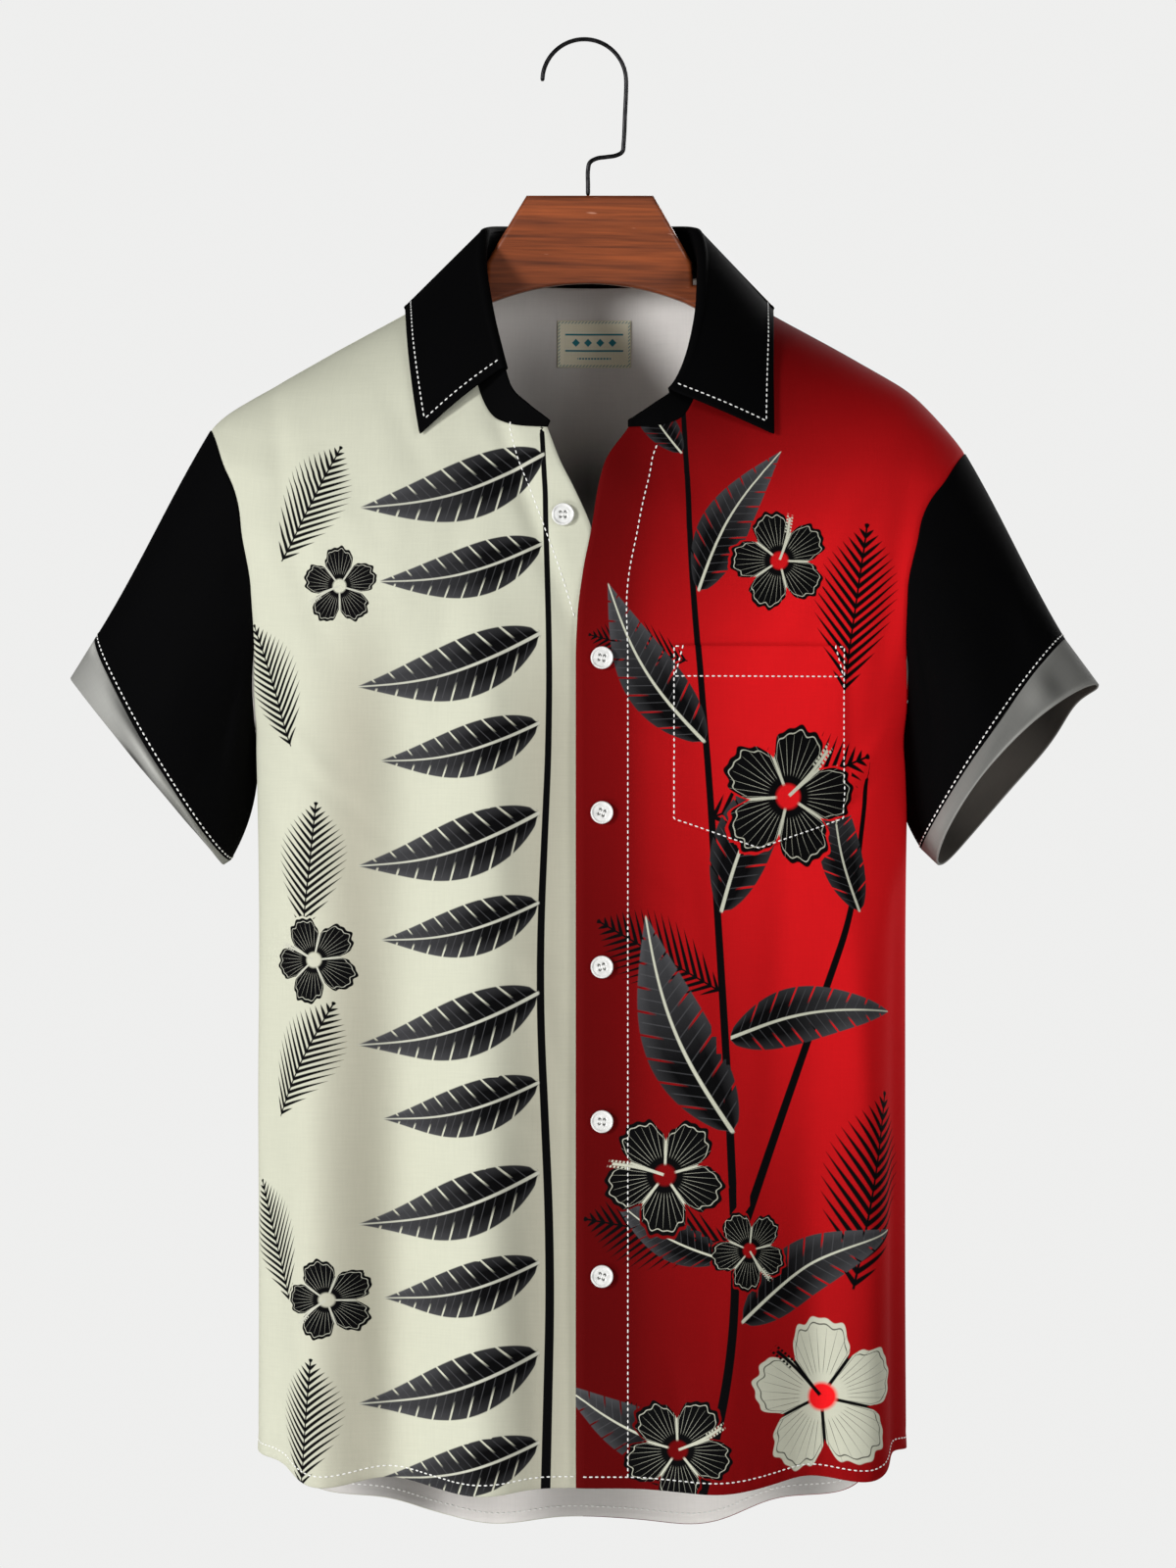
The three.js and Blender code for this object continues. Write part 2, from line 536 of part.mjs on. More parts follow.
// ---------------------------------------------------------------- collar
function seamPoint(side, at) {
  const { angle, down } = neckline(side, at);
  return panelOf(side, at <= SHOULDER_AT)(angle, down);
}

function rollPoint(side, at) {
  const x = side * collar(side > 0 ? "rollLeft" : "rollRight", at);
  return vec(x, collar("rollY", at), -collar("rollDown", at));
}

// The roll's direction at a place along the collar; level and straight across at the centre back.
function rollAlong(side, at) {
  const before = rollPoint(side, Math.max(0, at - ROLL_STEP));
  const along = rollPoint(side, Math.min(1, at + ROLL_STEP)).sub(before);
  return at > 1 - ROLL_STEP ? along.multiply(vec(1, 0, 0)) : along;
}

// The horizontal direction away from the neck at a place along the collar.
function neckOutward(side, at) {
  const along = rollAlong(side, at);
  return vec(along.y, -along.x, 0).multiplyScalar(side).normalize();
}

// The direction in which the leaf rises over the stand: square to the roll's line.
function rollRise(side, at) {
  const rise = rollAlong(side, at).cross(neckOutward(side, at)).normalize();
  return rise.z < 0 ? rise.negate() : rise;
}

// A point of the stand's outside: h runs from the neck seam (0) to the roll (1).
const standPoint = (side, at, h) => seamPoint(side, at).lerp(rollPoint(side, at), h);

function standNormal(side, at, h) {
  const inner = clamp(at, STAND_STEP.at, 1 - STAND_STEP.at);
  const plain = (a, b) => standPoint(side, a, b);
  return normalOf(plain, inner, h, STAND_STEP.at, STAND_STEP.h, neckOutward(side, at));
}

// How far the trunk reaches from the middle plane at x and down, grown outwards by clear;
// negative in front.
function trunkReach(x, down, front, clear) {
  const half = trunk("half", down) + clear;
  const share = clamp(Math.abs(x - trunk("centre", down)) / half, 0, 1);
  const c = Math.sqrt(Math.max(0, 1 - share ** (2 / trunk("flank", down))));
  const depth = trunk(front ? "front" : "back", down) + clear;
  return (front ? -1 : 1) * depth * c ** trunk("round", down);
}

// How far the leaf's outside stays from the trunk's.
function leafClearance(at) {
  const arch = LEAF_ARCH.more * Math.exp(-(((at - SHOULDER_AT) / LEAF_ARCH.reach) ** 2));
  return LEAF + LEAF_CLEARANCE + arch;
}

// The leaf's lower edge.
function leafTip(side, at) {
  const x = side * leafEdge(sideName(side), at);
  const down = leafEdge(`${sideName(side)}Down`, at);
  return vec(x, trunkReach(x, down, at < SHOULDER_AT, leafClearance(at)), -down);
}

const ROLL_SHARE = 0.3; // the share of the leaf's rows that go round the roll
const ROLL_TURN = 155 * DEG;

// A point of the leaf's outside: q runs from the stand's top edge (0) over the roll to the edge (1).
function leafPoint(side, at, q) {
  const outward = neckOutward(side, at);
  const radius = ROLL_RADIUS + LEAF;
  const rise = rollRise(side, at);
  const centre = rollPoint(side, at).addScaledVector(outward, ROLL_RADIUS);
  centre.addScaledVector(rise, SEAM_GAP);
  const onRoll = (turn) => {
    const point = centre.clone().addScaledVector(outward, -radius * Math.cos(turn));
    return point.addScaledVector(rise, radius * Math.sin(turn));
  };
  if (q <= ROLL_SHARE) return onRoll((ROLL_TURN * q) / ROLL_SHARE);
  const t = (q - ROLL_SHARE) / (1 - ROLL_SHARE);
  const point = onRoll(ROLL_TURN).lerp(leafTip(side, at), t);
  const bulge = LEAF_BULGE.out * (1 - Math.exp(-(((at - SHOULDER_AT) / LEAF_BULGE.calm) ** 2)));
  point.addScaledVector(outward, bulge * Math.sin(Math.PI * t) * (1 - LEAF_BULGE.fade * t));
  if (-point.z < NECK_DOWN) return point;
  const front = at < SHOULDER_AT;
  const limit = trunkReach(point.x, -point.z, front, leafClearance(at));
  point.y = front ? Math.min(point.y, limit) : Math.max(point.y, limit);
  return point;
}

// ---------------------------------------------------------------- making solids
// A closed geometry from points and triangles, turned to face outwards.
function closedGeometry(points, triangles) {
  const positions = new Float32Array(points.flatMap((p) => [p.x, p.y, p.z]));
  let volume = 0;
  for (const [a, b, c] of triangles) volume += points[a].dot(points[b].clone().cross(points[c]));
  const index = triangles.flatMap(([a, b, c]) => (volume > 0 ? [a, b, c] : [a, c, b]));
  const geometry = new THREE.BufferGeometry();
  geometry.setAttribute("position", new THREE.BufferAttribute(positions, 3));
  geometry.setIndex(index);
  geometry.computeVertexNormals();
  return geometry;
}

// A wall between an outer and an inner grid of points (rows of equal length). A tube's rows close.
// Each cell is split along its shorter diagonal.
function wall(outer, inner, tube = false) {
  const rows = outer.length;
  const columns = outer[0].length;
  const points = [...outer.flat(), ...inner.flat()];
  const at = (layer, r, c) => layer * rows * columns + r * columns + (c % columns);
  const triangles = [];
  const quad = (a, b, c, d) => {
    const first = points[a].distanceToSquared(points[c]) <= points[b].distanceToSquared(points[d]);
    triangles.push(...(first ? [[a, b, c], [a, c, d]] : [[a, b, d], [b, c, d]]));
  };
  const cells = tube ? columns : columns - 1;
  for (const r of range(rows - 1)) {
    for (const c of range(cells)) {
      quad(at(0, r, c), at(0, r, c + 1), at(0, r + 1, c + 1), at(0, r + 1, c));
      quad(at(1, r, c), at(1, r + 1, c), at(1, r + 1, c + 1), at(1, r, c + 1));
    }
    if (tube) continue;
    quad(at(0, r, 0), at(0, r + 1, 0), at(1, r + 1, 0), at(1, r, 0));
    quad(at(0, r, cells), at(1, r, cells), at(1, r + 1, cells), at(0, r + 1, cells));
  }
  for (const c of range(cells)) {
    quad(at(0, 0, c), at(1, 0, c), at(1, 0, c + 1), at(0, 0, c + 1));
    const last = rows - 1;
    quad(at(0, last, c), at(0, last, c + 1), at(1, last, c + 1), at(1, last, c));
  }
  return closedGeometry(points, triangles);
}

// Draws the outer edges of a grid in by a distance, for the gap at its seams.
function drawIn(grid, distance, tube = false) {
  const last = grid.length - 1;
  const pull = (point, towards) => {
    const step = towards.clone().sub(point);
    return point.clone().addScaledVector(step, distance / step.length());
  };
  const rowsDone = grid.map((row, r) => {
    if (r !== 0 && r !== last) return row;
    return row.map((point, c) => pull(point, grid[r === 0 ? 1 : last - 1][c]));
  });
  if (tube) return rowsDone;
  return rowsDone.map((row) => {
    const end = row.length - 1;
    return row.map((point, c) => {
      if (c !== 0 && c !== end) return point;
      return pull(point, row[c === 0 ? 1 : end - 1]);
    });
  });
}

// Where two walls meet, both are cut along one plane: the partner's normal turns this one's.
// A seam folded back on itself keeps each wall's own edge.
function mitred(normal, partner) {
  const share = smooth(MITRE.folded, MITRE.flat, normal.dot(partner));
  const direction = normal.clone().addScaledVector(partner, share).normalize();
  return direction.divideScalar(direction.dot(normal));
}

// A cloth wall from a grid of {point, normal}, where the normal may be stretched by a mitre.
function clothWall(grid, thick, tube = false) {
  const outer = grid.map((row) => row.map(({ point }) => point));
  const inner = grid.map((row) =>
    row.map(({ point, normal }) => point.clone().addScaledVector(normal, -thick)),
  );
  const gap = SEAM_GAP / 2;
  return wall(drawIn(outer, gap, tube), drawIn(inner, gap, tube), tube);
}

const grid = (rows, columns, cell) =>
  range(rows + 1).map((r) => range(columns + 1).map((c) => cell(r / rows, c / columns)));

// The wall direction at a panel's edge that is sewn to a sleeve or to the collar stand.
function sewnNormal(side, normal, seam, t) {
  if (seam === "armhole") return mitred(normal, tubeNormal(sleevePoint, side, t, 0));
  return mitred(normal, standNormal(side, t, 0));
}

function mesh(name, geometry, look) {
  const made = new THREE.Mesh(geometry, new THREE.MeshStandardMaterial(look));
  made.name = name;
  return made;
}

// ---------------------------------------------------------------- the pieces
function front(side) {
  const rows = LOWER_ROWS + UPPER_ROWS;
  const surface = panelOf(side, true);
  const cells = grid(rows, FRONT_COLUMNS, (v, u) => {
    const row = Math.round(v * rows);
    const above = (row - LOWER_ROWS) / UPPER_ROWS;
    const place = above < 0 ? frontLower(side, u, row / LOWER_ROWS) : frontUpper(side, u, above);
    let normal = trunkNormal(surface, place.angle, place.down);
    if (u === 1 && above >= 0) normal = sewnNormal(side, normal, "armhole", above / 2);
    if (u === 0 && above >= NECK_SHARE) {
      const at = (SHOULDER_AT * (above - NECK_SHARE)) / (1 - NECK_SHARE);
      normal = sewnNormal(side, normal, "neck", at);
    }
    return { point: surface(place.angle, place.down), normal };
  });
  return mesh(`front_${sideName(side)}`, clothWall(cells, CLOTH), side > 0 ? LOOKS.red : LOOKS.ivory);
}

function back() {
  const rows = LOWER_ROWS + UPPER_ROWS;
  const cells = grid(rows, 2 * BACK_COLUMNS, (v, across) => {
    const side = across < 0.5 ? -1 : 1;
    const u = Math.abs(2 * across - 1);
    const row = Math.round(v * rows);
    const above = (row - LOWER_ROWS) / UPPER_ROWS;
    const place = above < 0 ? backLower(side, u, row / LOWER_ROWS) : backUpper(side, u, above);
    let normal = trunkNormal(backPoint, place.angle, place.down);
    if (u === 1 && above >= 0) normal = sewnNormal(side, normal, "armhole", 1 - above / 2);
    if (above === 1 && u <= BACK_NECK_SHARE) {
      const at = mix(1, SHOULDER_AT, u / BACK_NECK_SHARE);
      normal = sewnNormal(side, normal, "neck", at);
    }
    return { point: backPoint(place.angle, place.down), normal };
  });
  return mesh("back", clothWall(cells, CLOTH), LOOKS.ivory);
}

function sleeve(side) {
  const cells = range(SLEEVE_ROWS + 1).map((r) =>
    range(ROUND_SLEEVE).map((c) => {
      const [turn, s] = [c / ROUND_SLEEVE, r / SLEEVE_ROWS];
      let normal = tubeNormal(sleevePoint, side, turn, s);
      if (s === 0) {
        const { surface, angle, down } = armholeAt(side, turn);
        normal = mitred(normal, trunkNormal(surface, angle, down));
      }
      if (s === 1) normal = mitred(normal, tubeNormal(cuffPoint, side, turn, 0));
      return { point: sleevePoint(side, turn, s), normal };
    }),
  );
  return mesh(`sleeve_${sideName(side)}`, clothWall(cells, CLOTH, true), LOOKS.black);
}

function cuff(side) {
  const cells = range(CUFF_ROWS + 1).map((r) =>
    range(ROUND_SLEEVE).map((c) => {
      const [turn, s] = [c / ROUND_SLEEVE, r / CUFF_ROWS];
      let normal = tubeNormal(cuffPoint, side, turn, s);
      if (s === 0) normal = mitred(normal, tubeNormal(sleevePoint, side, turn, 1));
      return { point: cuffPoint(side, turn, s), normal };
    }),
  );
  return mesh(`cuff_${sideName(side)}`, clothWall(cells, BAND, true), LOOKS.reverse);
}

// The columns of a collar piece, from the right front round the back to the left front.
function roundCollar(from) {
  const right = Math.round(NECK_PIECES * (1 - from.right));
  const left = Math.round(NECK_PIECES * (1 - from.left));
  return range(right + left + 1).map((i) => ({
    side: i < right ? -1 : 1,
    at: 1 - Math.abs(i - right) / NECK_PIECES,
  }));
}

function collarStand() {
  const cells = range(STAND_ROWS + 1).map((r) =>
    roundCollar({ left: 0, right: 0 }).map(({ side, at }) => {
      const h = r / STAND_ROWS;
      let normal = standNormal(side, at, h);
      if (h === 0) {
        const { angle, down } = neckline(side, at);
        normal = mitred(normal, trunkNormal(panelOf(side, at <= SHOULDER_AT), angle, down));
      }
      if (h === 1) normal = neckOutward(side, at);
      return { point: standPoint(side, at, h), normal };
    }),
  );
  return mesh("collar_stand", clothWall(cells, BAND), LOOKS.black);
}

// The outward direction of the leaf: round the roll at first, then out and up.
function leafFacing(side, at, q) {
  const outward = neckOutward(side, at);
  if (q > ROLL_SHARE) return outward.add(vec(0, 0, 0.6));
  const turn = (ROLL_TURN * q) / ROLL_SHARE;
  return outward.multiplyScalar(-Math.cos(turn)).addScaledVector(rollRise(side, at), Math.sin(turn));
}

function leafNormal(side, at, q) {
  if (q === 0) return neckOutward(side, at).negate();
  const plain = (a, b) => leafPoint(side, a, b);
  const a = clamp(at, LEAF_FROM[sideName(side)] + LEAF_STEP.at, 1 - 2 * LEAF_STEP.at);
  const b = clamp(q, LEAF_STEP.q, 1 - LEAF_STEP.q);
  return normalOf(plain, a, b, LEAF_STEP.at, LEAF_STEP.q, leafFacing(side, at, q));
}

function collarLeaf() {
  const cells = range(LEAF_ROWS + 1).map((r) =>
    roundCollar(LEAF_FROM).map(({ side, at }) => {
      const q = r / LEAF_ROWS;
      return { point: leafPoint(side, at, q), normal: leafNormal(side, at, q) };
    }),
  );
  return mesh("collar_leaf", clothWall(cells, LEAF), LOOKS.black);
}

// A point off one of the fronts at x and down, moved out by a distance along the normal.
function onFront(side, x, down, off) {
  const surface = panelOf(side, true);
  const angle = angleAt(x, down);
  const normal = trunkNormal(surface, angle, down);
  return { point: surface(angle, down).addScaledVector(normal, off), normal };
}

function pocket() {
  const cells = grid(POCKET_GRID.rows, POCKET_GRID.columns, (v, u) => {
    const low = POCKET.corner + POCKET.point * (1 - Math.abs(2 * u - 1));
    const x = mix(POCKET.x0, POCKET.x1, u);
    return onFront(1, x, mix(POCKET.top, low, v), ON_PANEL + POCKET.cloth);
  });
  return mesh("pocket", clothWall(cells, POCKET.cloth), LOOKS.red);
}

function label() {
  const cells = grid(LABEL_GRID.rows, LABEL_GRID.columns, (v, u) => {
    const down = LABEL.top + LABEL.height * v;
    const angle = Math.PI - angleAt(mix(LABEL.x0, LABEL.x1, u), down);
    const normal = trunkNormal(backPoint, angle, down);
    const point = backPoint(angle, down).addScaledVector(normal, -(CLOTH + ON_PANEL));
    return { point, normal };
  });
  return mesh("label", clothWall(cells, LABEL.thick), LOOKS.cream);
}

// A boolean operand from a three.js geometry.
function solidOf(geometry) {
  const bare = geometry.index ? geometry.toNonIndexed() : geometry.clone();
  for (const name of ["normal", "uv"]) bare.deleteAttribute(name);
  const merged = mergeVertices(bare, 1e-4);
  return new wasm.Manifold(
    new wasm.Mesh({
      numProp: 3,
      vertProperties: merged.attributes.position.array,
      triVerts: new Uint32Array(merged.index.array),
    }),
  );
}

function geometryOf(solid) {
  const { vertProperties, triVerts } = solid.getMesh();
  const geometry = new THREE.BufferGeometry();
  geometry.setAttribute("position", new THREE.BufferAttribute(new Float32Array(vertProperties), 3));
  geometry.setIndex(Array.from(triVerts));
  geometry.computeVertexNormals();
  return geometry;
}

// A four-holed button with a raised rim, its back at the origin and its face towards +Y.
function buttonGeometry() {
  const { radius, thick, rim, dish } = BUTTON;
  const { foot, waist, crown, slope } = BUTTON_EDGE;
  const profile = [
    [0, 0],
    [radius - foot, 0],
    [radius, thick * waist],
    [radius - crown, thick],
    [radius - rim, thick],
    [radius - rim - slope, thick - dish],
    [0, thick - dish],
  ];
  const disc = new THREE.LatheGeometry(profile.map(([r, h]) => new THREE.Vector2(r, h)), 18);
  let solid = solidOf(disc);
  for (const k of range(4)) {
    const hole = new THREE.CylinderGeometry(BUTTON.hole, BUTTON.hole, 3 * thick, 6);
    const turn = QUARTER * k + QUARTER / 2;
    hole.translate(BUTTON.holeAt * Math.cos(turn), 0, BUTTON.holeAt * Math.sin(turn));
    solid = solid.subtract(solidOf(hole));
  }
  return geometryOf(solid);
}

function button(name, side, x, down) {
  const { point, normal } = onFront(side, x, down, BUTTON.gap);
  const made = mesh(name, buttonGeometry(), LOOKS.pearl);
  made.position.copy(point);
  made.quaternion.setFromUnitVectors(vec(0, 1, 0), normal);
  return made;
}

function buttons() {
  const fastened = range(FASTENED.count).map((i) =>
    button(`button_${i + 2}`, 1, BUTTON_X, FASTENED.from + FASTENED.pitch * i),
  );
  return [button("button_1", -1, FIRST_BUTTON.x, FIRST_BUTTON.down), ...fastened];
}

// How far below the rail the shoulder's ridge is at x.
function ridgeDown(x) {
  let [low, high] = [NECK_DOWN, TIP_DOWN];
  for (const _ of range(40)) {
    const middle = (low + high) / 2;
    if (trunk("half", middle) < x) low = middle;
    else high = middle;
  }
  return low;
}

// Places spread evenly between two numbers, both of them included.
const spread = (from, to, count) => range(count).map((i) => mix(from, to, i / (count - 1)));

// Half of the bow's outline, as [x, down], from the block's top to the middle of the arch.
function hangerHalf(block) {
  const armTop = (x) => ridgeDown(x) + WOOD.seat;
  const armDeep = (x) =>
    mix(ARM.deepAtEnd, ARM.deepAtRoot, (ARM.underFrom - x) / (ARM.underFrom - ARM.underTo));
  const flank = [
    [block.top, WOOD.blockTop],
    [block.low, BLOCK.lowDown],
    [block.low + BLOCK_FOOT.out, armTop(NECK_HALF) + BLOCK_FOOT.drop],
  ];
  const top = spread(ARM.root, ARM.end - ARM_END[0][0], 9).map((x) => [x, armTop(x)]);
  const endTop = armTop(ARM.end - ARM_END[0][0]);
  const end = ARM_END.slice(1).map(([inward, below]) => [ARM.end - inward, endTop + below]);
  const under = spread(ARM.underFrom, ARM.underTo, 7).map((x) => [
    x,
    ridgeDown(Math.max(x, NECK_HALF)) + armDeep(x),
  ]);
  const arch = spread(ARCH.from, 0, 7).map((x) => [x, ARCH.down + ARCH.drop * (x / ARCH.half) ** 2]);
  return [...flank, ...top, ...end, ...under, ...arch];
}

function hangerWood() {
  const mirror = hangerHalf(BLOCK.right).slice(0, -1).map(([x, down]) => [-x, down]).reverse();
  const outline = [...hangerHalf(BLOCK.left), ...mirror];
  const shape = new THREE.Shape(outline.map(([x, down]) => new THREE.Vector2(x, -down)));
  const { thick, bevel } = WOOD;
  const board = new THREE.ExtrudeGeometry(shape, {
    depth: thick - 2 * bevel,
    bevelThickness: bevel,
    bevelSize: bevel,
    bevelOffset: -bevel,
    bevelSegments: 2,
    curveSegments: 1,
  });
  board.translate(0, 0, -(thick / 2 - bevel));
  board.rotateX(QUARTER);
  const bore = HOOK.wire + HOOK.play;
  const depth = HOOK.sunk + HOOK.play;
  const hole = new THREE.CylinderGeometry(bore, bore, 2 * depth, 12).rotateX(QUARTER);
  hole.translate(HOOK_BENDS[0][0], 0, -WOOD.blockTop);
  return mesh("hanger_wood", geometryOf(solidOf(board).subtract(solidOf(hole))), LOOKS.stain);
}

// The hook's centreline: stem, a step to the side, a straight rise and the open eye.
function hookLine() {
  const { wire, eye, eyeX } = HOOK;
  const arc = spread(0, Math.PI, 15).map((turn) => [
    eyeX + eye * Math.cos(turn),
    eye - wire - eye * Math.sin(turn),
  ]);
  const points = [...HOOK_BENDS, ...arc].map(([x, down]) => vec(x, 0, -down));
  return new THREE.CatmullRomCurve3(points, false, "centripetal");
}

function hook() {
  const corners = 8;
  const section = new THREE.Shape(
    range(corners).map((i) => {
      const turn = (2 * Math.PI * i) / corners;
      return new THREE.Vector2(HOOK.wire * Math.cos(turn), HOOK.wire * Math.sin(turn));
    }),
  );
  const options = { steps: 50, extrudePath: hookLine(), bevelEnabled: false, curveSegments: 1 };
  return mesh("hanger_hook", new THREE.ExtrudeGeometry(section, options), LOOKS.wire);
}

const shirt = new THREE.Group();
shirt.add(front(-1), front(1), back());
for (const side of [-1, 1]) shirt.add(sleeve(side), cuff(side));
shirt.add(collarStand(), collarLeaf(), pocket(), label());
shirt.add(...buttons(), hangerWood(), hook());
export default shirt;
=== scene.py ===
"""A hawaiian shirt on a wooden hanger: the looks.

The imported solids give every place. Their shapes are worked out here again from the same sizes,
in millimetres, on much finer grids, and then get folds, seams, stitches, prints and finishes.
The origin is the underside of the hook's top; "down" is millimetres below it. The front faces
-Y and the wearer's left is +X: a side is 1 for the left and -1 for the right.
"""

import math
from functools import partial, partialmethod

import bmesh
import bpy
import numpy as np
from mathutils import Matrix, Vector


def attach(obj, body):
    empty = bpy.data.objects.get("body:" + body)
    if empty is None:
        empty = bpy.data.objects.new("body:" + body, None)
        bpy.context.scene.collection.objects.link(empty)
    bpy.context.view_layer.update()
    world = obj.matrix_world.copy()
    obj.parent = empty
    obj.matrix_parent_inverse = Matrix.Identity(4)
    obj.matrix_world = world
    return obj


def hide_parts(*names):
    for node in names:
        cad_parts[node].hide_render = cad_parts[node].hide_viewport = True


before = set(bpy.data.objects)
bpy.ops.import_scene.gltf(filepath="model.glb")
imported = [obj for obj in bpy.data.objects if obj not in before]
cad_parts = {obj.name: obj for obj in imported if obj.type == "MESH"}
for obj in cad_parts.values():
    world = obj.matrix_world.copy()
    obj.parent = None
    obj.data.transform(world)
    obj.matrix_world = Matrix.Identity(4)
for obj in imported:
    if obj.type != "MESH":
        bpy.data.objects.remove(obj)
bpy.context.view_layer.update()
MM = 0.001
ROOT = "root"
QUARTER, ROUND = math.pi / 2, 2 * math.pi


# ---------------------------------------------------------------- curves and bumps
def mix(a, b, t):
    return a + (b - a) * t


def smooth(low, high, x):
    t = np.clip((x - low) / (high - low), 0, 1)
    return t * t * (3 - 2 * t)


def hermite(p, leave, q, arrive, t):
    """The cubic from p to q with the given slopes at its ends."""
    return (
        p * (2 * t**3 - 3 * t**2 + 1)
        + leave * (t**3 - 2 * t**2 + t)
        + q * (3 * t**2 - 2 * t**3)
        + arrive * (t**3 - t**2)
    )


def bell(a, b=0):
    """A soft bump: 1 where a and b are 0, and next to nothing beyond 2."""
    return np.exp(-(a**2) - b**2)


def bells(rows, x, y):
    """A sum of bumps, given as x, y, half-width, half-height and amount."""
    return sum(amount * bell((x - at) / wide, (y - up) / tall) for at, up, wide, tall, amount in rows)


def creases(rows, x, y, scale=(1, 1), turn_unit=math.radians(1)):
    """A sum of creases, given as x, y, turn from upright, half-length, half-width and height.
    The lengths are millimetres, and scale turns x and y into millimetres."""
    total = 0.0
    for at_x, at_y, turn, long, wide, deep in rows:
        c, s = math.cos(turn * turn_unit), math.sin(turn * turn_unit)
        dx, dy = (x - at_x) * scale[0], (y - at_y) * scale[1]
        total = total + deep * bell((dx * s + dy * c) / long, (dx * c - dy * s) / wide)
    return total


def unit(v):
    return v / np.maximum(np.linalg.norm(v, axis=-1, keepdims=True), 1e-9)


def stacked(*values):
    return np.stack(np.broadcast_arrays(*values), axis=-1).astype(float)


def power(base, exponent):
    return np.sign(base) * np.abs(base) ** exponent


def turned(angle):
    """The same angle, from -pi to pi."""
    return np.arctan2(np.sin(angle), np.cos(angle))


def side_word(side):
    return "left" if side > 0 else "right"


def along_points(values, steps):
    """Rows of numbers read at even shares of the way from the first to the last."""
    at = np.linspace(0, len(values) - 1, steps)
    return np.stack([np.interp(at, np.arange(len(values)), axis) for axis in zip(*values, strict=True)], -1)


class Sizes(dict):
    """Numbers by name."""

    __getattr__ = dict.__getitem__


class Table:
    """Rows of numbers, read at any key of the first column, by a curve that doesn't overshoot."""

    def __init__(self, columns, *rows):
        self.columns = columns.split()
        self.rows = np.array(rows, float)
        rise = np.diff(self.rows, axis=0) / np.diff(self.rows[:, 0])[:, None]
        product = rise[:-1] * rise[1:]
        total = rise[:-1] + rise[1:]
        inner = np.where(product > 0, 2 * product / np.where(product > 0, total, 1), 0)
        self.slopes = np.vstack([rise[:1], inner, rise[-1:]])

    def __call__(self, column, x):
        keys, at = self.rows[:, 0], self.columns.index(column)
        x = np.clip(x, keys[0], keys[-1])
        i = np.clip(np.searchsorted(keys, x, side="right") - 1, 0, len(keys) - 2)
        step = keys[i + 1] - keys[i]
        values, slopes = self.rows[:, at], self.slopes[:, at]
        t = (x - keys[i]) / step
        return hermite(values[i], slopes[i] * step, values[i + 1], slopes[i + 1] * step, t)


# ---------------------------------------------------------------- sizes shared with the solids
CLOTH = 1.0  # the wall that shows; the solids' is thicker, for collision
BAND = 1.7
LEAF = 2.2
SEAM_GAP = 0.3
MITRE = Sizes(folded=-0.3, flat=0.2, least=0.3)
NECK_DOWN, NECK_HALF, NECK_CENTRE_DOWN = 151, 73, 156.5
TIP_DOWN = 258
UNDERARM_DOWN = 450
HEM_SIDE_DOWN = 905
HEM_DROP = Sizes(front=(19, 7), back=(53, 2.9))  # how far it falls from the sides, how fully
NECK_STEPS = Sizes(front=8, back=6)
NECK_PIECES = NECK_STEPS.front + NECK_STEPS.back
SHOULDER_AT = NECK_STEPS.front / NECK_PIECES
LOWER_ROWS, UPPER_ROWS = 11, 16
FRONT_COLUMNS, BACK_COLUMNS, SLEEVE_COLUMNS = 16, 14, 32
NECK_SHARE = 1 - NECK_STEPS.front / UPPER_ROWS
BACK_NECK_SHARE = NECK_STEPS.back / BACK_COLUMNS
TRUNK = Table(
    "down half front back centre flank round",
    (NECK_DOWN, NECK_HALF, 43, 43, 0, 1.0, 1.42),
    (178, 122, 52, 51, 0, 1.0, 1.38),
    (205, 171.5, 61, 58, 0, 1.0, 1.33),
    (232, 216, 69, 65, 0, 1.0, 1.27),
    (TIP_DOWN, 243, 76, 70, 0, 1.0, 1.22),
    (285, 257, 81, 74, 0, 0.99, 1.16),
    (315, 257, 85, 77, -1, 0.98, 1.1),
    (354, 244, 88, 80, -2, 0.97, 1.04),
    (400, 224, 90, 82, -3, 0.94, 0.96),
    (UNDERARM_DOWN, 210, 91, 83, -3.5, 0.91, 0.9),
    (600, 208, 89, 82, -3.5, 0.88, 0.85),
    (780, 208, 92, 86, -3.5, 0.88, 0.84),
    (960, 209, 96, 92, -3.5, 0.88, 0.84),
)
# Soft vertical folds: degrees round the trunk, half-width in degrees, height at the hem, where
# each starts and is full, and how far it drifts round by the hem.
FOLDS = (
    (-69, 10, -5.0, 470, 880, 4), (-51, 10, 7.5, 400, 900, 1), (-33, 9, -8.5, 330, 860, -2),
    (-17, 8, 7.5, 380, 900, 2), (19, 9, 6.5, 520, 900, 2), (40, 9, -8.0, 430, 880, 2),
    (60, 10, 7.0, 470, 900, -1), (77, 8, -5.0, 300, 820, -2), (107, 9, -5.5, 430, 880, 3),
    (127, 10, 7.0, 380, 900, 2), (146, 9, -7.5, 420, 880, -1), (164, 9, 8.5, 330, 900, -2),
    (-179, 8, -5.0, 450, 880, 3), (-167, 8, 8.0, 400, 900, -1), (-148, 9, -7.5, 360, 870, 2),
    (-129, 10, 7.0, 470, 900, 2), (-108, 9, -5.5, 520, 880, -2),
)
PLACKET_CALM = (2, 12)
HEM_SWAY = 0.65
DROOP = Sizes(mm=8, across=(200, 250), fade=(330, 450))
ARMHOLE = {("front", 1): 34.5, ("front", -1): 31, ("back", 1): 30, ("back", -1): 30}
ARMHOLE_SKEW = 1.357
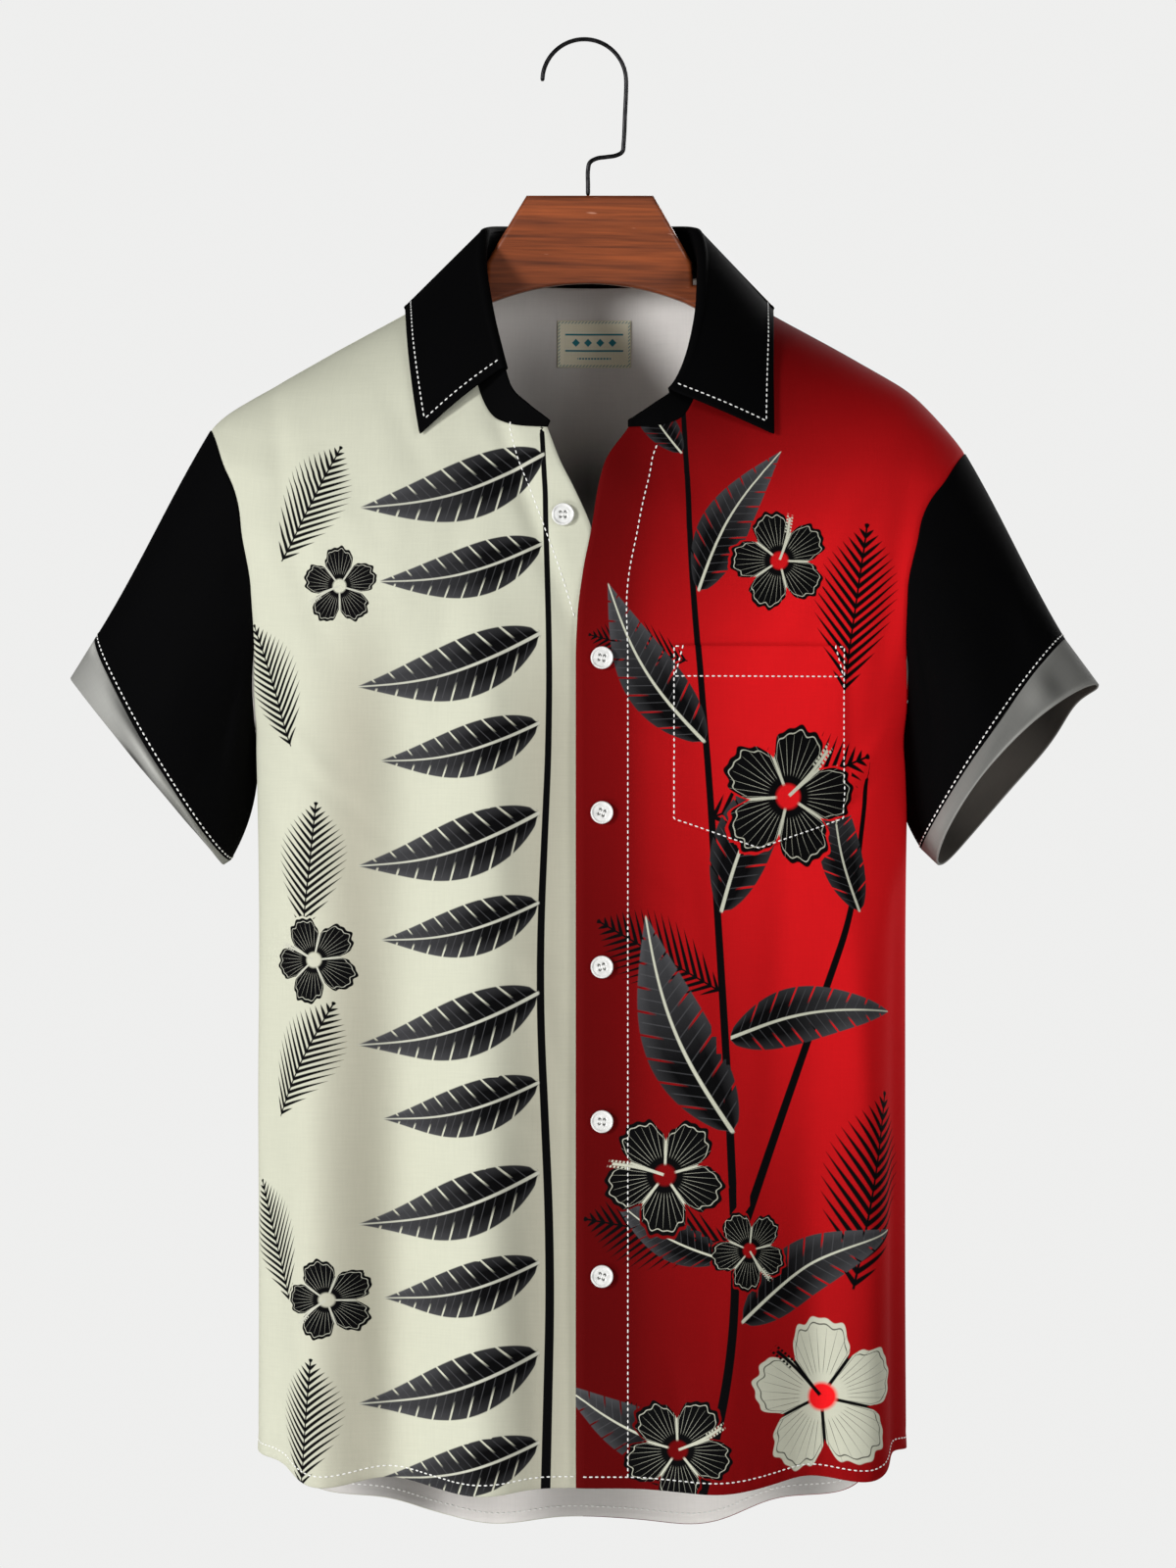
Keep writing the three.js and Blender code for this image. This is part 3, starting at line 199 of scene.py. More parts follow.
FRONT_EDGE = Table(
    "down left right",
    (251, 26, 26), (273, 11, 17.5), (290, 6.5, 9), (315, 2.5, -2), (343, -3, -10),
    (372, -6.5, -16), (400, -7.5, -21), (440, -7.5, -24.5), (960, -7.5, -24.5),
)
LAP = Sizes(lift=0.9, across=(34, 90), down=(262, 302))
LAPEL = Sizes(roll=3.5, wide=19, trough=2.5, at=44, spread=17, opens=(251, 280), closes=(280, 306))
COLLAR = Table(
    "at seam_x seam_down roll_left roll_right roll_y roll_down",
    (0, 26, 251, 26, 24.5, -77, 247),
    (0.08, 43, 250, 41, 37.5, -76, 237),
    (0.16, 59, 245, 55.5, 49, -70, 226),
    (0.27, 70, 225, 66, 57, -58, 200),
    (0.38, 75, 198, 71, 63.5, -41, 170),
    (0.48, 76, 172, 72, 67, -21, 143),
    (SHOULDER_AT, NECK_HALF, NECK_DOWN, 68, 64.5, 0, 124),
    (0.75, 59, 153.5, 56, 54, 25, 121.5),
    (0.88, 32, 156, 31, 30.5, 37.5, 121),
    (1, 0, NECK_CENTRE_DOWN, 0, 0, 42, 121),
)
LEAF_SKIPS = {1: 2, -1: 3}  # the pieces of each front's end of the seam that the leaf leaves free
LEAF_EDGE = Table(
    "at left left_down right right_down",
    (LEAF_SKIPS[1] / NECK_PIECES, 118.5, 254.5, 104, 264),
    (LEAF_SKIPS[-1] / NECK_PIECES, 118.5, 240, 107, 254.5),
    (0.32, 118.5, 220, 111.5, 228),
    (0.45, 119, 195, 115.5, 197),
    (SHOULDER_AT, 119.5, 171, 118, 170.5),
    (0.72, 104, 173, 104, 173),
    (0.85, 62, 173, 62, 173),
    (1, 0, 173, 0, 173),
)
LEAF_BULGE = Sizes(out=3.2, calm=0.15, fade=0.4)
LEAF_CLEARANCE = 1.2
LEAF_ARCH = Sizes(more=4, reach=0.13)
ROLL = Sizes(radius=1.5, share=0.3, turn=math.radians(155), step=0.02)
# The rings at each sleeve's black edge and at the cuff's rim: x and down of the outer corner and
# of the inner one; tilt, bend and notch.
RINGS = {
    "edge": {1: ((307.5, 385), (214.5, 520), (5.5, 1.5, 0)), -1: ((317, 384), (230, 527), (-7, 0, 0))},
    "rim": {1: ((329, 414), (225, 530), (11.3, 7.5, 6)), -1: ((333.3, 410), (234.5, 530), (1, -1, 3))},
}
RING_DEPTH = {"edge": 39, "rim": 40.5}
NOTCH = Sizes(at=0.61, wide=0.06)
SWELL = Sizes(mm=16, out=0.35, up=0.2, grows=(0.02, 0.3))
UNDERARM_FALL = Sizes(share=1.35, calm=0.08)
ARRIVAL = Sizes(underarm=0.35, elsewhere=0.12, calm=0.2)
FOLDED_GAP = 1.3 * SEAM_GAP
# Creases of the sleeves: turn and place along the tube, their half-widths, height.
SLEEVE_CREASES = (
    (0.17, 0.55, 0.035, 0.29, -3.5),
    (0.27, 0.75, 0.04, 0.29, 3.0),
    (0.36, 0.8, 0.035, 0.2, -2.5),
    (0.66, 0.7, 0.04, 0.29, -3.0),
    (0.79, 0.6, 0.045, 0.29, 3.0),
)
CREASES_FULL = 0.35
POCKET = Sizes(x0=53, x1=164, top=390, corner=501, point=19)
LABEL = Sizes(x0=-20, x1=28, top=177, height=30, thick=0.7, off=0.35)
BUTTON = Sizes(hole=0.95, hole_at=1.9, gap=0.65)
# The buttons' side, x and down: the free one on the right front, then those on the left front.
BUTTONS = [(-1, -15.8, 307)] + [(1, 8.8, 398 + 98 * i) for i in range(5)]

# ---------------------------------------------------------------- sizes of the looks alone
# Extra creases: x and down, turn from upright in degrees, half-length, half-width, height.
CREASES = {
    "front_right": (
        (-182, 460, 0, 90, 26, 5.0), (-118, 460, 0, 90, 22, -6.0), (-64, 460, 0, 90, 22, 5.0),
        (-4, 460, 0, 90, 22, -3.5), (-184, 750, 0, 220, 26, 8.5), (-118, 750, 0, 220, 23, -9.5),
        (-64, 750, 0, 220, 22, 8.5), (-2, 750, 0, 220, 26, -6.0), (-196, 275, 8, 45, 9, -3.2),
        (-181, 350, 20, 50, 10, -2.8), (-38, 300, 19.4, 78, 7, -3.8), (-182, 452, 38, 46, 7, 1.6),
        (-168, 478, 48, 52, 6, -1.5), (-196, 500, 16, 60, 8, 1.4), (-150, 520, 8, 90, 11, -1.3),
        (-120, 350, 6, 90, 12, 1.6), (-92, 400, -3, 120, 10, -1.8), (-60, 470, 3, 110, 9, 1.5),
        (-205, 640, -4, 90, 9, 1.5), (-30, 620, 14, 60, 8, 1.0), (-44, 690, 60, 26, 6, 0.7),
        (-40, 590, 70, 24, 6, 0.6), (-160, 300, 34, 60, 10, 1.2), (-112, 262, 26, 46, 9, -1.1),
        (-140, 860, 5, 60, 9, 1.6), (-90, 880, -6, 50, 8, -1.5), (-46, 860, 4, 60, 8, 1.3),
        (-74, 300, -14, 40, 9, -1.4),
    ),
    "front_left": (
        (184, 455, -36, 48, 7, 1.7), (170, 486, -46, 50, 6, -1.5), (198, 520, -12, 66, 8, 1.4),
        (150, 340, -28, 70, 12, 1.4), (196, 350, -8, 70, 9, -1.8), (40, 450, 62, 26, 6, 0.7),
        (44, 546, 66, 26, 6, 0.7), (42, 640, -64, 24, 6, 0.6), (70, 590, 6, 90, 10, 1.5),
        (120, 620, -3, 110, 12, -1.6), (176, 660, 4, 110, 10, 1.5), (92, 820, -5, 70, 10, 1.5),
        (148, 850, 4, 70, 9, -1.6), (58, 880, 8, 40, 8, -1.3), (60, 300, 24, 46, 9, 1.1),
        (104, 300, 10, 50, 12, -1.0),
    ),
    "back": (
        (-97, 945, 0, 60, 19, 6.5), (36, 945, 0, 60, 24, 6.5), (160, 940, 0, 60, 20, 5.0),
        (-32, 945, 0, 50, 18, -5.0), (98, 945, 0, 50, 20, -5.0), (-14, 262, 4, 60, 12, -3.0),
        (24, 270, -6, 60, 13, 2.6), (58, 240, -16, 50, 12, -2.2), (-52, 250, 14, 50, 13, 2.4),
        (0, 300, 0, 130, 16, 1.6), (-60, 280, 16, 90, 12, -1.4), (64, 286, -14, 90, 12, -1.4),
        (-150, 330, -30, 90, 12, 1.5), (150, 330, 32, 90, 12, 1.5), (-178, 450, -40, 50, 7, 1.8),
        (180, 452, 42, 50, 7, 1.8), (-164, 476, -52, 50, 6, -1.6), (166, 480, 54, 50, 6, -1.6),
        (-110, 600, 4, 130, 12, 1.6), (-30, 640, -5, 140, 12, -1.5), (50, 620, 5, 130, 12, 1.6),
        (128, 650, -4, 120, 11, -1.5), (-150, 860, 6, 70, 9, 1.6), (-20, 880, -5, 60, 9, 1.5),
        (92, 870, 4, 60, 9, -1.5),
    ),
}
# Where the extra creases fade out: millimetres below the neck, degrees from the side and shoulder
# seams, and millimetres from a front's edge.
CREASE_CALM = Sizes(neck=(8, 60), seam=(1, 14), edge=(4, 22))
# Small creases of the sleeves: turn, place along, lean in radians, half-length, half-width, height.
SLEEVE_MARKS = {
    -1: (
        (0.44, 0.6, 0.5, 16, 2.2, 1.3), (0.42, 0.66, -0.35, 15, 2.0, 1.1), (0.3, 0.25, 0.2, 40, 7, 1.2),
        (0.16, 0.4, -0.2, 40, 6, -1.3), (0.09, 0.3, 0.1, 34, 5, 1.4), (0.7, 0.4, 0.3, 44, 7, 1.4),
    ),
    1: (
        (0.34, 0.3, 0.3, 44, 8, 1.3), (0.2, 0.35, -0.2, 40, 6, -1.3), (0.1, 0.3, 0.1, 34, 5, 1.4),
        (0.4, 0.75, -0.3, 30, 6, 1.1), (0.72, 0.5, 0.3, 44, 7, 1.4),
    ),
}
MARKS_GROW, MARKS_FADE = (0.02, 0.2), (0.85, 1)
SLEEVE_MM = (330, 150)  # about once round a sleeve, and about its length
UNDERARM_FULL = Sizes({-1: 2.2, 1: 9.0}, to=0.18, skew=0.45)  # towards the body, under the arm
# The turned-up band stands off its middle, and ripples: height, waves round, waves along, start.
CUFF_PUFF = Sizes(mm=1.3, flat=0.7)
CUFF_RIPPLES = ((0.55, 9, 0.35, 0), (0.4, 4, -0.5, 0.2))
# Painted highlights and shade on the bands, standing in for the light on their folds and dents: turn, s,
# half-turn, half-s, amount.
CUFF_PAINTED_LIGHT_AND_SHADE = {
    -1: (
        (0.46, 0.1, 0.03, 0.12, 0.6), (0.36, 0.5, 0.05, 0.5, 0.3), (0.3, 0.12, 0.05, 0.2, -0.6),
        (0.23, 0.42, 0.07, 0.18, 0.75), (0.27, 0.97, 0.03, 0.12, -0.75), (0.17, 0.93, 0.07, 0.14, -0.6),
        (0.75, 0.5, 0.1, 0.6, -0.3),
    ),
    1: (
        (0.25, 0.5, 0.4, 2.0, -0.4), (0.37, 0.6, 0.018, 0.5, -0.25), (0.335, 0.5, 0.02, 0.5, 0.25),
        (0.09, 0.5, 0.09, 0.6, 0.22), (0.24, 1.0, 0.18, 0.07, 1.1), (0.66, 0.5, 0.04, 0.8, -0.45),
        (0.77, 0.5, 0.06, 0.9, 0.3), (0.9, 0.5, 0.05, 0.8, -0.45),
    ),
}
# Painted light and shade inside the back: the light and shade of the hem's folds, as x, half-width and
# amount, and painted shade low inside the neck with a little painted light beside it, as x, down, half-width,
# half-height and amount.
HEM_PAINTED_LIGHT_AND_SHADE = ((-133, 30, -0.52), (-66, 24, 0.16), (-5, 32, -0.24), (74, 26, 0.16), (142, 28, -0.45))
HEM_PAINTED_LIGHT_AND_SHADE_GROW = (790, 870)
NECK_PAINTED_LIGHT_AND_SHADE = ((0, 288, 36, 42, -0.9), (-38, 216, 26, 42, -0.42), (58, 178, 32, 50, 0.18))
# Where seams, hems and stitch lines run, from an edge of the cloth.
PLACKET = Sizes(lift=0.45, step=0.9)
BAND_WIDE = Table(
    "down left right",
    (240, 22, 22), (257, 25, 24.5), (282, 30.5, 27), (314, 29, 29.4), (343, 29, 27.3),
    (400, 32.5, 22.5), (960, 32.5, 22.5),
)
HEM = Sizes(deep=7.0, lift=0.4, step=0.8, pucker=0.22, wave=9.5, drift=(2.1, 23.0))
SEAM_VALLEY = Sizes(deep=0.7, wide=2.2)
# How many fine cells there are in one of the solid's: rows and columns, or columns alone.
FINE = Sizes(front=(12, 6), back=(10, 5), tube=6, stand=8, leaf=10)
ROWS = Sizes(sleeve=56, cuff=20, stand=20, leaf=72)
LEAF_WALL = 1.8
POCKET_GRID, LABEL_GRID = (72, 66), (20, 32)
POCKET_OFF, POCKET_WALL = 1.15, 0.8
POCKET_EDGE = Sizes(wide=2.0, drop=0.25)
POCKET_HEM = Sizes(down=409.5, lift=0.4, step=0.8)
POCKET_MOUTH = Sizes(mm=0.8, fade=(0, 0.35))


# ---------------------------------------------------------------- the trunk
def fold_height(angle, down):
    height = np.zeros(np.broadcast(angle, down).shape)
    for at, wide, deep, start, full, lean in FOLDS:
        grown = smooth(start, full, down)
        off = turned(angle - np.radians(at + lean * grown))
        height = height + deep * grown * bell(off / math.radians(wide))
    return height * smooth(*PLACKET_CALM, np.degrees(np.abs(turned(angle))))


def trunk_depth(front, down):
    return np.where(front, TRUNK("front", down), TRUNK("back", down))


def trunk_point(angle, down, lift=0.0):
    s, c = np.sin(angle), np.cos(angle)
    half, depth = TRUNK("half", down), trunk_depth(c >= 0, down)
    outward = unit(stacked(s / half, -c / depth, 0))
    x = TRUNK("centre", down) + power(s, TRUNK("flank", down)) * half
    y = -power(c, TRUNK("round", down)) * depth
    droop = DROOP.mm * smooth(*DROOP.across, np.abs(x)) * (1 - smooth(*DROOP.fade, down))
    height = fold_height(angle, down) + lift
    return stacked(x, y, -down - np.sign(x) * droop) + outward * height[..., None]


def angle_at(x, down):
    share = np.clip((x - TRUNK("centre", down)) / TRUNK("half", down), -1, 1)
    return np.arcsin(np.clip(power(share, 1 / TRUNK("flank", down)), -1, 1))


def hem_down(angle):
    pairs = zip(HEM_DROP.front, HEM_DROP.back, strict=True)
    drop, full = (np.where(np.cos(angle) >= 0, *pair) for pair in pairs)
    level = HEM_SIDE_DOWN + drop * (1 - np.abs(np.sin(angle)) ** full)
    return level + HEM_SWAY * fold_height(angle, level)


def calm_creases(name, angle, down, x):
    """The extra creases, with none at the neck, nor at the side and shoulder seams."""
    from_side = np.degrees(np.abs(np.abs(turned(angle)) - QUARTER))
    calm = smooth(*CREASE_CALM.neck, down - NECK_DOWN) * smooth(*CREASE_CALM.seam, from_side)
    return calm * creases(CREASES[name], x, down)


def hem_relief(angle, down, x):
    """The turned-up hem: a little proud below its stitches, and puckered along them."""
    above = hem_down(angle) - down
    step = 1 - smooth(HEM.deep - HEM.step, HEM.deep + HEM.step, above)
    drift, period = HEM.drift
    wave = np.sin(ROUND * x / HEM.wave + drift * np.sin(x / period))
    return HEM.lift * step + HEM.pucker * bell((above - HEM.deep) / HEM.deep) * wave


def front_lift(side, x, angle, down):
    word = side_word(side)
    inward = side * x - FRONT_EDGE(word, down)
    lap = side * LAP.lift * (1 - smooth(*LAP.across, np.abs(x))) * smooth(*LAP.down, down)
    opened = smooth(*LAPEL.opens, down) * (1 - smooth(*LAPEL.closes, down))
    roll = LAPEL.roll * bell(inward / LAPEL.wide)
    trough = LAPEL.trough * bell((inward - LAPEL.at) / LAPEL.spread)
    wide = BAND_WIDE(word, down)
    band = 1 - smooth(wide - PLACKET.step, wide + PLACKET.step, inward)
    extra = smooth(*CREASE_CALM.edge, inward) * calm_creases("front_" + word, angle, down, x)
    return lap + opened * (roll - trough) + PLACKET.lift * band + hem_relief(angle, down, x) + extra


def front_point(side, angle, down):
    x = trunk_point(angle, down)[..., 0]
    return trunk_point(angle, down, front_lift(side, x, angle, down))


def back_point(angle, down):
    x = trunk_point(angle, down)[..., 0]
    return trunk_point(angle, down, hem_relief(angle, down, x) + calm_creases("back", angle, down, x))


# The steps that each surface's normals are measured over, and how far up its outside faces.
TRUNK_STEP = (math.radians(0.25), 0.8)
TUBE_STEP = (0.003, 0.015)
STAND_STEP = (0.01, 0.05)
LEAF_STEP = (0.004, 0.01)
FACING_UP = Sizes(trunk=0.3, leaf=0.6)


def normal_of(surface, a, b, steps, outward):
    along_a = surface(a + steps[0], b) - surface(a - steps[0], b)
    along_b = surface(a, b + steps[1]) - surface(a, b - steps[1])
    normal = unit(np.cross(along_a, along_b))
    return normal * np.where((normal * outward).sum(-1) < 0, -1.0, 1.0)[..., None]


def trunk_normal(surface, angle, down):
    outward = stacked(np.sin(angle), -np.cos(angle), FACING_UP.trunk)
    return normal_of(surface, angle, down, TRUNK_STEP, outward)


def on_panels(side, front, places, normals=False):
    """Points, or normals, on the front where front is true, and on the back elsewhere."""
    angle, down = places[..., 0], places[..., 1]
    surfaces = (partial(front_point, side), back_point)
    found = [trunk_normal(each, angle, down) if normals else each(angle, down) for each in surfaces]
    return np.where(front[..., None], *found)


# ---------------------------------------------------------------- seams; a place is angle and down
def armhole(side, part, t):
    middle, span = (UNDERARM_DOWN + TIP_DOWN) / 2, (UNDERARM_DOWN - TIP_DOWN) / 2
    t = np.clip(t, 0, 1)
    bite = math.radians(ARMHOLE[part, side]) * np.sin(math.pi * t**ARMHOLE_SKEW)
    local = QUARTER - bite if part == "front" else QUARTER + bite
    return stacked(side * local, middle + span * np.cos(math.pi * t))


def neckline(side, at):
    down = COLLAR("seam_down", at)
    local = angle_at(np.minimum(COLLAR("seam_x", at), TRUNK("half", down)), down)
    return stacked(side * np.where(at <= SHOULDER_AT, local, math.pi - local), down)


def shoulder_seam(side, t):
    return stacked(side * QUARTER, mix(NECK_DOWN, TIP_DOWN, t))


def edge_place(side, down):
    return stacked(angle_at(side * FRONT_EDGE(side_word(side), down), down), down)


def patch(u, v, low, high, start, end):
    """Places between four curves."""
    nil, one = np.zeros_like(u), np.ones_like(u)
    u2, v2 = u[..., None], v[..., None]
    across = mix(low(u), high(u), v2) + mix(start(v), end(v), u2)
    return across - mix(mix(low(nil), low(one), u2), mix(high(nil), high(one), u2), v2)


def front_upper(side, u, v):
    def low(t):
        return stacked(mix(edge_place(side, UNDERARM_DOWN)[..., 0], side * QUARTER, t), UNDERARM_DOWN)

    def start(t):
        edge = edge_place(side, mix(UNDERARM_DOWN, COLLAR.rows[0, 2], np.minimum(t / NECK_SHARE, 1)))
        neck = neckline(side, SHOULDER_AT * np.clip((t - NECK_SHARE) / (1 - NECK_SHARE), 0, 1))
        return np.where((t <= NECK_SHARE)[..., None], edge, neck)

    return patch(u, v, low, partial(shoulder_seam, side), start, partial(armhole, side, "front"))


def back_upper(side, u, v):
    def low(t):
        return stacked(side * mix(math.pi, QUARTER, t), UNDERARM_DOWN)

    def high(t):
        neck = neckline(side, mix(1, SHOULDER_AT, np.clip(t / BACK_NECK_SHARE, 0, 1)))
        seam = shoulder_seam(side, np.clip((t - BACK_NECK_SHARE) / (1 - BACK_NECK_SHARE), 0, 1))
        return np.where((t <= BACK_NECK_SHARE)[..., None], neck, seam)

    def start(t):
        return stacked(side * math.pi, mix(UNDERARM_DOWN, NECK_CENTRE_DOWN, t))

    return patch(u, v, low, high, start, partial(armhole, side, "back"))


def by_row(row, angle_of, upper):
    """Places from the hem up to the underarm, where angle_of(down) gives the angle, and above it."""
    below, above = np.clip(row / LOWER_ROWS, 0, 1), np.clip((row - LOWER_ROWS) / UPPER_ROWS, 0, 1)
    down = mix(hem_down(angle_of(HEM_SIDE_DOWN)), UNDERARM_DOWN, below)
    return np.where((row < LOWER_ROWS)[..., None], stacked(angle_of(down), down), upper(above))


def front_places(side, u, row):
    """Places on a front: u from its edge to the side, row counted up from the hem."""

    def angle_of(down):
        return mix(edge_place(side, down)[..., 0], side * QUARTER, u)

    return by_row(row, angle_of, partial(front_upper, side, u))


def back_places(across, row):
    """Places on the back: across from -1 at the right side to 1 at the left."""
    u = np.abs(across)

    def half(side):
        return by_row(row, lambda _: side * mix(math.pi, QUARTER, u), partial(back_upper, side, u))

    return np.where((across < 0)[..., None], half(-1), half(1))


# ---------------------------------------------------------------- sleeves and cuffs
def ring_middle(which, side):
    (top_x, top_down), (low_x, low_down), _ = RINGS[which][side]
    return np.array([side * (top_x + low_x) / 2, 0, -(top_down + low_down) / 2])


def ring_point(which, side, turn):
    (top_x, top_down), (low_x, low_down), (tilt, bend, deep) = RINGS[which][side]
    c, s = np.cos(ROUND * turn), np.sin(ROUND * turn)
    along = np.array([side * (top_x - low_x), 0, low_down - top_down])
    outward = unit(np.array([side * along[2], 0, -side * along[0]]))
    shift = -tilt * s - bend * s * s - deep * bell((turn % 1 - NOTCH.at) / NOTCH.wide)
    point = ring_middle(which, side) - along * (c / 2)[..., None] + outward * shift[..., None]
    return stacked(point[..., 0], -RING_DEPTH[which] * s, point[..., 2])


def armhole_places(side, turn):
    wrapped = turn % 1
    front = armhole(side, "front", np.minimum(2 * wrapped, 1))
    back = armhole(side, "back", np.minimum(2 * (1 - wrapped), 1))
    return np.where((wrapped <= 0.5)[..., None], front, back), wrapped <= 0.5


def sleeve_start(side, turn):
    places, front = armhole_places(side, turn)
    folded = FOLDED_GAP * np.sqrt(np.maximum(0, np.cos(ROUND * turn)))
    outward = stacked(np.sin(places[..., 0]), -np.cos(places[..., 0]), 0)
    return on_panels(side, front, places) + outward * folded[..., None]


def sleeve_point(side, turn, s):
    start, end = sleeve_start(side, turn), ring_point("edge", side, turn)
    (top_x, top_down), (low_x, low_down), _ = RINGS["edge"][side]
    chord = end - start
    long = np.linalg.norm(chord, axis=-1)[..., None]
    axis = unit(np.array([side * (low_down - top_down), 0, -(top_x - low_x)]))
    from_underarm = np.abs((turn + 0.5) % 1 - 0.5)
    swell = stacked(side * SWELL.out, -np.sin(ROUND * turn), SWELL.up)
    leave = chord + swell * (SWELL.mm * smooth(*SWELL.grows, from_underarm))[..., None]
    fall = np.array([0, 0, -1.0]) * UNDERARM_FALL.share * long
    leave = mix(leave, fall, (1 - smooth(0, UNDERARM_FALL.calm, from_underarm))[..., None])
    line_up = mix(ARRIVAL.underarm, ARRIVAL.elsewhere, smooth(0, ARRIVAL.calm, from_underarm))
    arrive = mix(chord, axis * long, line_up[..., None])
    point = hermite(start, leave, end, arrive, s[..., None])
    full = UNDERARM_FULL[side] * (1 - smooth(0, UNDERARM_FULL.to, from_underarm))
    full = full * np.sin(math.pi * np.clip(s, 0, 1) ** UNDERARM_FULL.skew)
    marks = creases(SLEEVE_MARKS[side], turn % 1, s, SLEEVE_MM, turn_unit=1)
    dent = bells(SLEEVE_CREASES, turn % 1, s) * smooth(0, CREASES_FULL, s)
    dent = dent + marks * smooth(*MARKS_GROW, s) * (1 - smooth(*MARKS_FADE, s))
    return point - stacked(side * full, dent * np.sin(ROUND * turn), 0)


def cuff_point(side, turn, s):
    arch = np.sin(math.pi * np.clip(s, 0, 1))
    ripple = sum(
        mm * np.sin(ROUND * (turn * waves + s * along + at)) for mm, waves, along, at in CUFF_RIPPLES
    )
    puff = CUFF_PUFF.mm * arch ** CUFF_PUFF.flat + ripple * arch
    flat = mix(ring_point("edge", side, turn), ring_point("rim", side, turn), s[..., None])
    return flat - stacked(0, np.sin(ROUND * turn) * puff, 0)


def tube_normal(surface, side, turn, s):
    across = mix(surface(side, turn + 0.5, s), surface(side, turn, s), 0.5)
    centre = np.where((s <= 0)[..., None], across, ring_middle("edge", side))
    outward = surface(side, turn, s) - centre
    outward[..., 1] = -np.sin(ROUND * turn) * RING_DEPTH["edge"]
    return normal_of(partial(surface, side), turn, s, TUBE_STEP, outward)


def back_painted_light_and_shade(x, down):
    """The painted light and shade of the back's inside, by the hem's folds and low inside the neck."""
    bands = sum(amount * bell((x - at) / wide) for at, wide, amount in HEM_PAINTED_LIGHT_AND_SHADE)
    tone = 1 + bands * smooth(*HEM_PAINTED_LIGHT_AND_SHADE_GROW, down)
    for shade in NECK_PAINTED_LIGHT_AND_SHADE:
        tone = tone * (1 + bells([shade], x, down))
    return tone


# ---------------------------------------------------------------- collar
def seam_point(side, at):
    return on_panels(side, at <= SHOULDER_AT, neckline(side, at))


def roll_point(side, at):
    x, y, down = (COLLAR("roll_" + axis, at) for axis in (side_word(side), "y", "down"))
    return stacked(side * x, y, -down)


def roll_along(side, at):
    step = ROLL.step
    along = roll_point(side, np.minimum(1, at + step)) - roll_point(side, np.maximum(0, at - step))
    # At the centre back both halves run level and straight across.
    return along * mix(np.ones(3), np.array([1.0, 0, 0]), smooth(1 - 3 * step, 1, at)[..., None])


def neck_outward(side, at):
    along = roll_along(side, at)
    return unit(stacked(side * along[..., 1], -side * along[..., 0], 0))


def roll_rise(side, at):
    rise = unit(np.cross(roll_along(side, at), neck_outward(side, at)))
    return rise * np.where(rise[..., 2] < 0, -1.0, 1.0)[..., None]


def stand_point(side, at, h):
    return mix(seam_point(side, at), roll_point(side, at), h[..., None])


def stand_normal(side, at, h):
    inner = np.clip(at, STAND_STEP[0], 1 - STAND_STEP[0])
    return normal_of(partial(stand_point, side), inner, h, STAND_STEP, neck_outward(side, at))


def trunk_reach(x, down, front, clear):
    """How far out the trunk reaches at x and down, with clear room over it."""
    share = np.clip(np.abs(x - TRUNK("centre", down)) / (TRUNK("half", down) + clear), 0, 1)
    c = np.sqrt(np.maximum(0, 1 - share ** (2 / TRUNK("flank", down))))
    return np.where(front, -1, 1) * (trunk_depth(front, down) + clear) * c ** TRUNK("round", down)


def leaf_clearance(at):
    return LEAF + LEAF_CLEARANCE + LEAF_ARCH.more * bell((at - SHOULDER_AT) / LEAF_ARCH.reach)


def leaf_tip(side, at):
    x = side * LEAF_EDGE(side_word(side), at)
    down = LEAF_EDGE(side_word(side) + "_down", at)
    return stacked(x, trunk_reach(x, down, at < SHOULDER_AT, leaf_clearance(at)), -down)


def roll_turn(q):
    return ROLL.turn * np.clip(q, 0, ROLL.share) / ROLL.share


def leaf_point(side, at, q):
    outward, rise = neck_outward(side, at), roll_rise(side, at)
    radius = ROLL.radius + LEAF
    centre = roll_point(side, at) + outward * ROLL.radius + rise * SEAM_GAP

    def on_roll(turn):
        turn = np.broadcast_to(turn, at.shape)[..., None]
        return centre - outward * radius * np.cos(turn) + rise * radius * np.sin(turn)

    t = np.clip((q - ROLL.share) / (1 - ROLL.share), 0, 1)
    point = mix(on_roll(ROLL.turn), leaf_tip(side, at), t[..., None])
    bulge = LEAF_BULGE.out * (1 - bell((at - SHOULDER_AT) / LEAF_BULGE.calm))
    out = bulge * np.sin(math.pi * t) * (1 - LEAF_BULGE.fade * t)
    point = point + outward * out[..., None]
    front = at < SHOULDER_AT
    limit = trunk_reach(point[..., 0], -point[..., 2], front, leaf_clearance(at))
    held = np.where(front, np.minimum(point[..., 1], limit), np.maximum(point[..., 1], limit))
    point[..., 1] = np.where(-point[..., 2] < NECK_DOWN, point[..., 1], held)
    return np.where((q <= ROLL.share)[..., None], on_roll(roll_turn(q)), point)


def leaf_normal(side, at, q):
    outward, turn = neck_outward(side, at), roll_turn(q)[..., None]
    rolled = -outward * np.cos(turn) + roll_rise(side, at) * np.sin(turn)
    facing = np.where((q > ROLL.share)[..., None], outward + np.array([0, 0, FACING_UP.leaf]), rolled)
    a = np.clip(at, LEAF_SKIPS[side] / NECK_PIECES + LEAF_STEP[0], 1 - 2 * LEAF_STEP[0])
    b = np.clip(q, LEAF_STEP[1], 1 - LEAF_STEP[1])
    normal = normal_of(partial(leaf_point, side), a, b, LEAF_STEP, facing)
    return np.where((q == 0)[..., None], -outward, normal)


# ---------------------------------------------------------------- meshes
SEAM_DRAW = 0.15
RIM_ROUND = 0.42  # how far the rounded edge reaches out, as a share of the wall
BAKE = {"up": (0.004, 0.996), "outside": (0.004, 0.6), "inside": (0.61, 0.996)}


